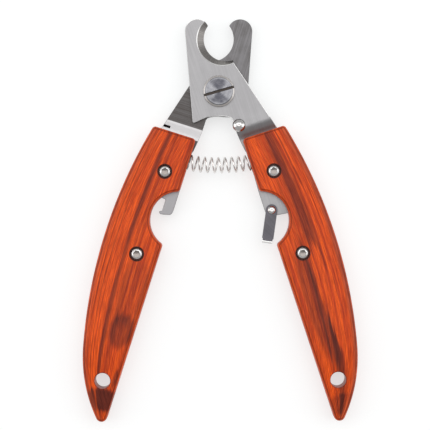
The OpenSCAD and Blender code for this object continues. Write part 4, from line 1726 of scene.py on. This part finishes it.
@dataclass
class ReturnSpring:
    """The bowed compression spring between the grips, around the pivot.

    Attributes:
        diameter: Outer diameter.
        wire_d: Diameter of the wire.
        turns: Number of turns.
        closed_turns: Turns that lie closed at each end.
        bow: Angle by which each end is turned away, in degrees.
        seat_play: Clearance at the seats.
    """

    diameter: float = 6.5
    wire_d: float = 0.65
    turns: float = 11.3
    closed_turns: float = 0.75
    bow: float = 11.0
    seat_play: float = 0.05

    def tree(self) -> Tree:
        """Returns the Geometry Nodes tree that winds the wire along a bowed centre line."""
        labels = ("Turns", "Closed Turns", "Closed Pitch", "Free Pitch", "Coil Radius",
                  "Wire Radius", "Bow Radius", "Bow Angle")
        sheet, given, result = group_tree(
            "Bowed coil spring",
            {
                "Start": (GEOMETRY, None), **{label: (FLOAT, None) for label in labels},
                "Bow Centre": (VECTOR, None), "Points": ("NodeSocketInt", None),
                "Finish": (MATERIAL, None),
            },
            {"Mesh": GEOMETRY},
            "GeometryNodeTree",
        )
        size = {label: given.outputs[label] for label in labels}

        line = sheet.add("GeometryNodeCurvePrimitiveLine")
        fine = sheet.add("GeometryNodeResampleCurve")
        sheet.feed(fine.inputs["Curve"], line.outputs[0])
        sheet.feed(fine.inputs["Count"], given.outputs["Points"])
        share = sheet.add("GeometryNodeSplineParameter").outputs["Factor"]
        turn = sheet.times(share, size["Turns"])
        both_closed = sheet.times(size["Closed Turns"], 2.0)
        free_turns = sheet.math("SUBTRACT", size["Turns"], both_closed)
        past = sheet.math("MAXIMUM", sheet.math("SUBTRACT", turn, size["Closed Turns"]), 0.0)
        free = sheet.math("MINIMUM", past, free_turns)
        closed = sheet.math("SUBTRACT", turn, free)
        free_len = sheet.times(free, size["Free Pitch"])
        along = sheet.math("MULTIPLY_ADD", closed, size["Closed Pitch"], free_len)
        bowed = sheet.math("DIVIDE", along, size["Bow Radius"])
        angle = sheet.math("SUBTRACT", bowed, size["Bow Angle"])
        normal = sheet.combine(
            sheet.math("SINE", angle), sheet.times(sheet.math("COSINE", angle), -1.0), 0.0
        )
        wound = sheet.times(turn, 2 * math.pi)
        down = sheet.combine(0.0, 0.0, sheet.times(sheet.math("SINE", wound), -1.0))
        side = sheet.vector("SCALE", normal, scale=sheet.math("COSINE", wound))
        out = sheet.vector("ADD", side, down)
        arm = sheet.vector("SCALE", normal, scale=size["Bow Radius"])
        centre = sheet.vector("ADD", given.outputs["Bow Centre"], arm)
        place = sheet.vector("ADD", centre, sheet.vector("SCALE", out, scale=size["Coil Radius"]))

        kept = sheet.add("GeometryNodeStoreNamedAttribute", data_type="FLOAT", domain="POINT")
        kept.inputs["Name"].default_value = "free_share"
        sheet.feed(kept.inputs["Geometry"], fine.outputs[0])
        sheet.feed(kept.inputs["Value"], sheet.math("DIVIDE", free, free_turns))
        coil = sheet.add("GeometryNodeSetPosition")
        sheet.feed(coil.inputs["Geometry"], kept.outputs[0])
        sheet.feed(coil.inputs["Position"], place)
        section = sheet.add("GeometryNodeCurvePrimitiveCircle")
        section.inputs["Resolution"].default_value = 12
        sheet.feed(section.inputs["Radius"], size["Wire Radius"])
        wire = sheet.add("GeometryNodeCurveToMesh")
        sheet.feed(wire.inputs["Curve"], coil.outputs[0])
        sheet.feed(wire.inputs["Profile Curve"], section.outputs[0])
        wire.inputs["Fill Caps"].default_value = True
        return end_tree(sheet, wire.outputs[0], given, result)

    def build(self, frame: LeverFrame, grip: Grip, finish: Material) -> None:
        """Builds the spring bowed between the two levers, dresses it and hides the CAD spring."""
        tilt = math.sin(math.radians(abs(frame.half_angle - self.bow)))
        lift = self.wire_d / 2 + self.diameter / 2 * tilt + self.seat_play
        end = turned((grip.seat_x - lift, grip.seat_y), frame.half_angle)
        bow_r = end[0] / math.sin(math.radians(self.bow))
        centre_y = end[1] + bow_r * math.cos(math.radians(self.bow))
        closed_pitch = self.wire_d * 1.2
        free_len = 2 * math.radians(self.bow) * bow_r - 2 * self.closed_turns * closed_pitch
        start = bmesh.new()
        start.verts.new((0, 0, 0))
        piece = new_object("return_spring_coil", start)
        run_tree(piece, self.tree(), {
            "Turns": self.turns,
            "Closed Turns": self.closed_turns,
            "Closed Pitch": closed_pitch,
            "Free Pitch": free_len / (self.turns - 2 * self.closed_turns),
            "Coil Radius": (self.diameter - self.wire_d) / 2,
            "Wire Radius": self.wire_d / 2,
            "Bow Radius": bow_r,
            "Bow Angle": math.radians(self.bow),
            "Bow Centre": (0.0, centre_y, 0.0),
            "Points": int(self.turns * 40),
            "Finish": finish,
        })
        shade_smooth(piece)
        matrix = Matrix.Translation(frame.pivot) @ Matrix.Scale(MM, 4)
        piece.data.transform(matrix)
        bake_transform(piece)
        piece.data.attributes.remove(piece.data.attributes["free_share"])
        piece.data.materials.clear()
        piece.data.materials.append(finish)
        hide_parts("return_spring")
        log.info("%s bends between the levers, %d faces", piece.name, len(piece.data.polygons))


# ------------------------------------------------------------------ studio


@dataclass(frozen=True)
class SoftBox:
    """A rectangular light that faces the tool.

    Attributes:
        name: The light's name.
        place: Its middle, in metres.
        size: Its width and height, in metres.
        glow: Its brightness, where 1 shows a mirror as white.
    """

    name: str
    place: tuple[float, float, float]
    size: Point
    glow: float

    def build(self) -> None:
        """Adds the light."""
        data = bpy.data.lights.new(self.name, "AREA")
        data.shape = "RECTANGLE"
        data.size, data.size_y = self.size
        data.energy = self.glow * math.pi * self.size[0] * self.size[1]
        light = bpy.data.objects.new(self.name, data)
        light.location = self.place
        light.rotation_euler = (-Vector(self.place)).to_track_quat("-Z", "Y").to_euler()
        light.visible_camera = False
        bpy.context.scene.collection.objects.link(light)


@dataclass
class Studio:
    """A pale table, soft boxes and a camera straight above.

    Attributes:
        aim: Where the camera looks, in metres.
        height: The camera's height over the table.
        lens: Focal length on a 36 mm sensor.
        roll: The camera's turn about its own axis, in degrees.
        boxes: The lights.
    """

    aim: Point = (-0.00175, 0.00184)
    height: float = 0.6866
    lens: float = 147.5
    roll: float = -0.27
    boxes: tuple[SoftBox, ...] = (
        SoftBox("overhead", (0.0, 0.28, 0.85), (1.3, 0.85), 1.5),
        SoftBox("left_box", (-0.75, 0.05, 0.36), (0.6, 0.7), 1.1),
        SoftBox("right_box", (0.75, 0.05, 0.36), (0.6, 0.7), 1.1),
    )

    def build(self) -> None:
        """Builds the table, the lights, the surroundings and the camera."""
        self._camera()
        self._table()
        self._surroundings()
        for box in self.boxes:
            box.build()

    def _camera(self) -> None:
        """Adds the camera, looking straight down."""
        data = bpy.data.cameras.new("camera")
        data.lens = self.lens
        data.sensor_width = 36
        data.clip_start = 0.01
        camera = bpy.data.objects.new("camera", data)
        camera.location = (*self.aim, self.height)
        camera.rotation_euler = (0, 0, math.radians(self.roll))
        bpy.context.scene.collection.objects.link(camera)
        bpy.context.scene.camera = camera

    def _table(self) -> None:
        """Adds the plain pale table that the tool lies on, which glows a little."""
        mesh = bmesh.new()
        bmesh.ops.create_grid(mesh, x_segments=1, y_segments=1, size=2.0)
        table = new_object("table", mesh)
        table.location.z = -0.00005
        material, _, shader = new_material("pale table")
        shader.inputs["Base Color"].default_value = (0.36, 0.37, 0.37, 1)
        shader.inputs["Emission Color"].default_value = (1, 1, 1, 1)
        shader.inputs["Emission Strength"].default_value = 0.64
        shader.inputs["Roughness"].default_value = 0.9
        shader.inputs["Specular IOR Level"].default_value = 0.1
        table.data.materials.append(material)

    def _surroundings(self) -> None:
        """Lights the scene evenly from all round."""
        world = bpy.data.worlds.new("studio")
        world.use_nodes = True
        background = world.node_tree.nodes["Background"]
        background.inputs["Color"].default_value = (1, 1, 1, 1)
        background.inputs["Strength"].default_value = 0.5
        bpy.context.scene.world = world
        bpy.context.scene.view_settings.view_transform = "Standard"


# ------------------------------------------------------------------ the tool


class NailClipper:
    """The whole tool: builds each sub-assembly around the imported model."""

    OPEN_ANGLE = 36.0
    SATIN = Steel(
        "satin blade steel", (0.285, 0.28, 0.285), (0.25, 0.245, 0.25), 0.34,
        # edge_glint paints a highlight on the front blade's broken edges
        marks=0.1, grind=(0.29, 0.275, 0.265), edge_glint=True,
    )
    # the ground steel's cross_dull_and_shade is darker partly as painted shade
    GROUND = Steel(
        "ground blade steel", (0.155, 0.15, 0.155), (0.10, 0.095, 0.095), 0.36,
        spread=0.14, bump=0.12, fineness=11.0, length=0.05, marks=0.12,
        # neck is a painted highlight on the rear blade's bent neck
        neck=(0.46, 0.45, 0.455), cross_from=-2.0, cross_dull_and_shade=(0.06, 0.053, 0.05),
        # pit marks the relief slot, painted near black as shade
        grind=(0.2, 0.185, 0.18), pit=((24.9, -18.85), (11.1, 0.5)), tab=(0.27, 0.262, 0.27),
    )
    BAR = Steel(
        "dark bar steel", (0.105, 0.10, 0.112), (0.078, 0.075, 0.083), 0.3, turn=63.8, marks=0.1,
        # worn paints a highlight on the bar's bend and lip beyond this distance
        lip_highlight=(Lock.rivet_c, 12.15),
    )
    CHROME = TurnedSteel("bright fastener steel", (0.72, 0.71, 0.70), (0.58, 0.57, 0.56), 0.08, 3.0)
    SOCKETS = TurnedSteel(
        "bright screw steel", (0.78, 0.77, 0.76), (0.62, 0.61, 0.6), 0.2, 3.0,
        # cavity is painted shade inside the screws' sockets
        cavity=(0.26, 0.235, 0.22),
    )
    PIVOT = TurnedSteel(
        # its wedge of 0.7 darkens the face as a painted reflection
        "turned pivot steel", (0.27, 0.27, 0.285), (0.085, 0.085, 0.1), 0.26, 6.0, 0.7,
        rim=5.35, slot=(PivotScrew.slot_angle, PivotScrew.slot_w),
    )
    WIRE = Steel(
        "drawn spring wire", (0.86, 0.84, 0.82), (0.62, 0.60, 0.58), 0.24,
        spread=0.06, bump=0.03, fineness=3.0,
    )
    LEFT_WOOD = Varnished(
        "left varnished wood",
        bands=(
            (0.12, 0.012, 0.5), (0.20, 0.016, 0.5), (0.29, 0.04, -0.5), (0.42, 0.05, 0.75),
            (0.58, 0.06, 0.25), (0.92, 0.03, 0.4),
        ),
        knots=(
            Knot((8.0, -99.5), (4.6, 7.2), 0.62),
            Knot((6.5, -126.5), (6.5, 4.6), 1.1),
            Knot((4.4, -117.5), (0.8, 4.0), 0.6),
            Knot((8.5, -84.0), (5.0, 14.0), 0.28),
            Knot((17.5, -78.0), (1.6, 26.0), -0.5),
        ),
        offset=2.6,
    )
    RIGHT_WOOD = Varnished(
        "right varnished wood",
        bands=(
            (0.05, 0.05, 0.55), (0.17, 0.03, -0.3), (0.24, 0.014, 0.5), (0.42, 0.13, 0.72),
            (0.62, 0.03, 0.4), (0.93, 0.02, 0.3),
        ),
        knots=(
            Knot((15.5, -92.0), (2.8, 26.0), -1.1),
            Knot((10.3, -90.0), (4.2, 25.0), 0.62),
            Knot((19.5, -60.0), (1.2, 22.0), -0.4),
            Knot((7.5, -129.0), (6.0, 4.0), 0.45),
        ),
        offset=7.3,
    )

    def __init__(self, loaded: dict) -> None:
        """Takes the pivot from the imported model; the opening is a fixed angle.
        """
        hinge = next(j for j in loaded["joints"] if j["name"] == "lever_hinge")
        self.frame = LeverFrame(Vector(hinge["pos_m"]), self.OPEN_ANGLE / 2)
        self.grip = Grip()
        self.blade = Blade()
        self.effects = Effects()

    def build(self) -> None:
        """Builds every sub-assembly in order."""
        frame, grip, effects = self.frame, self.grip, self.effects
        chrome = self.CHROME.material(frame.pivot)
        sockets = self.SOCKETS.material(frame.pivot)
        pivot = self.PIVOT.material(frame.pivot)
        woods = {Side.RIGHT: self.RIGHT_WOOD, Side.LEFT: self.LEFT_WOOD}
        steels = {Side.RIGHT: self.SATIN, Side.LEFT: self.GROUND}
        for side in Side:
            grip.build(frame, side, woods[side].material(frame, side, grip, effects))
            self.blade.build(frame, side, grip, steels[side].material(effects, frame, side))
        GripScrews().build(frame, grip, sockets)
        PivotScrew().build(frame, pivot, chrome)
        StopPin().build(frame, chrome)
        Lock().build(frame, self.BAR.material(effects, frame, Side.RIGHT), chrome)
        ReturnSpring().build(frame, grip, self.WIRE.material(effects, frame, Side.RIGHT))


def main() -> None:
    """Builds the tool and its studio around the frame."""
    logging.basicConfig(level=logging.INFO, format="%(name)s: %(message)s")
    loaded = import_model()
    NailClipper(loaded).build()
    Studio().build()


if __name__ == "__main__":
    main()
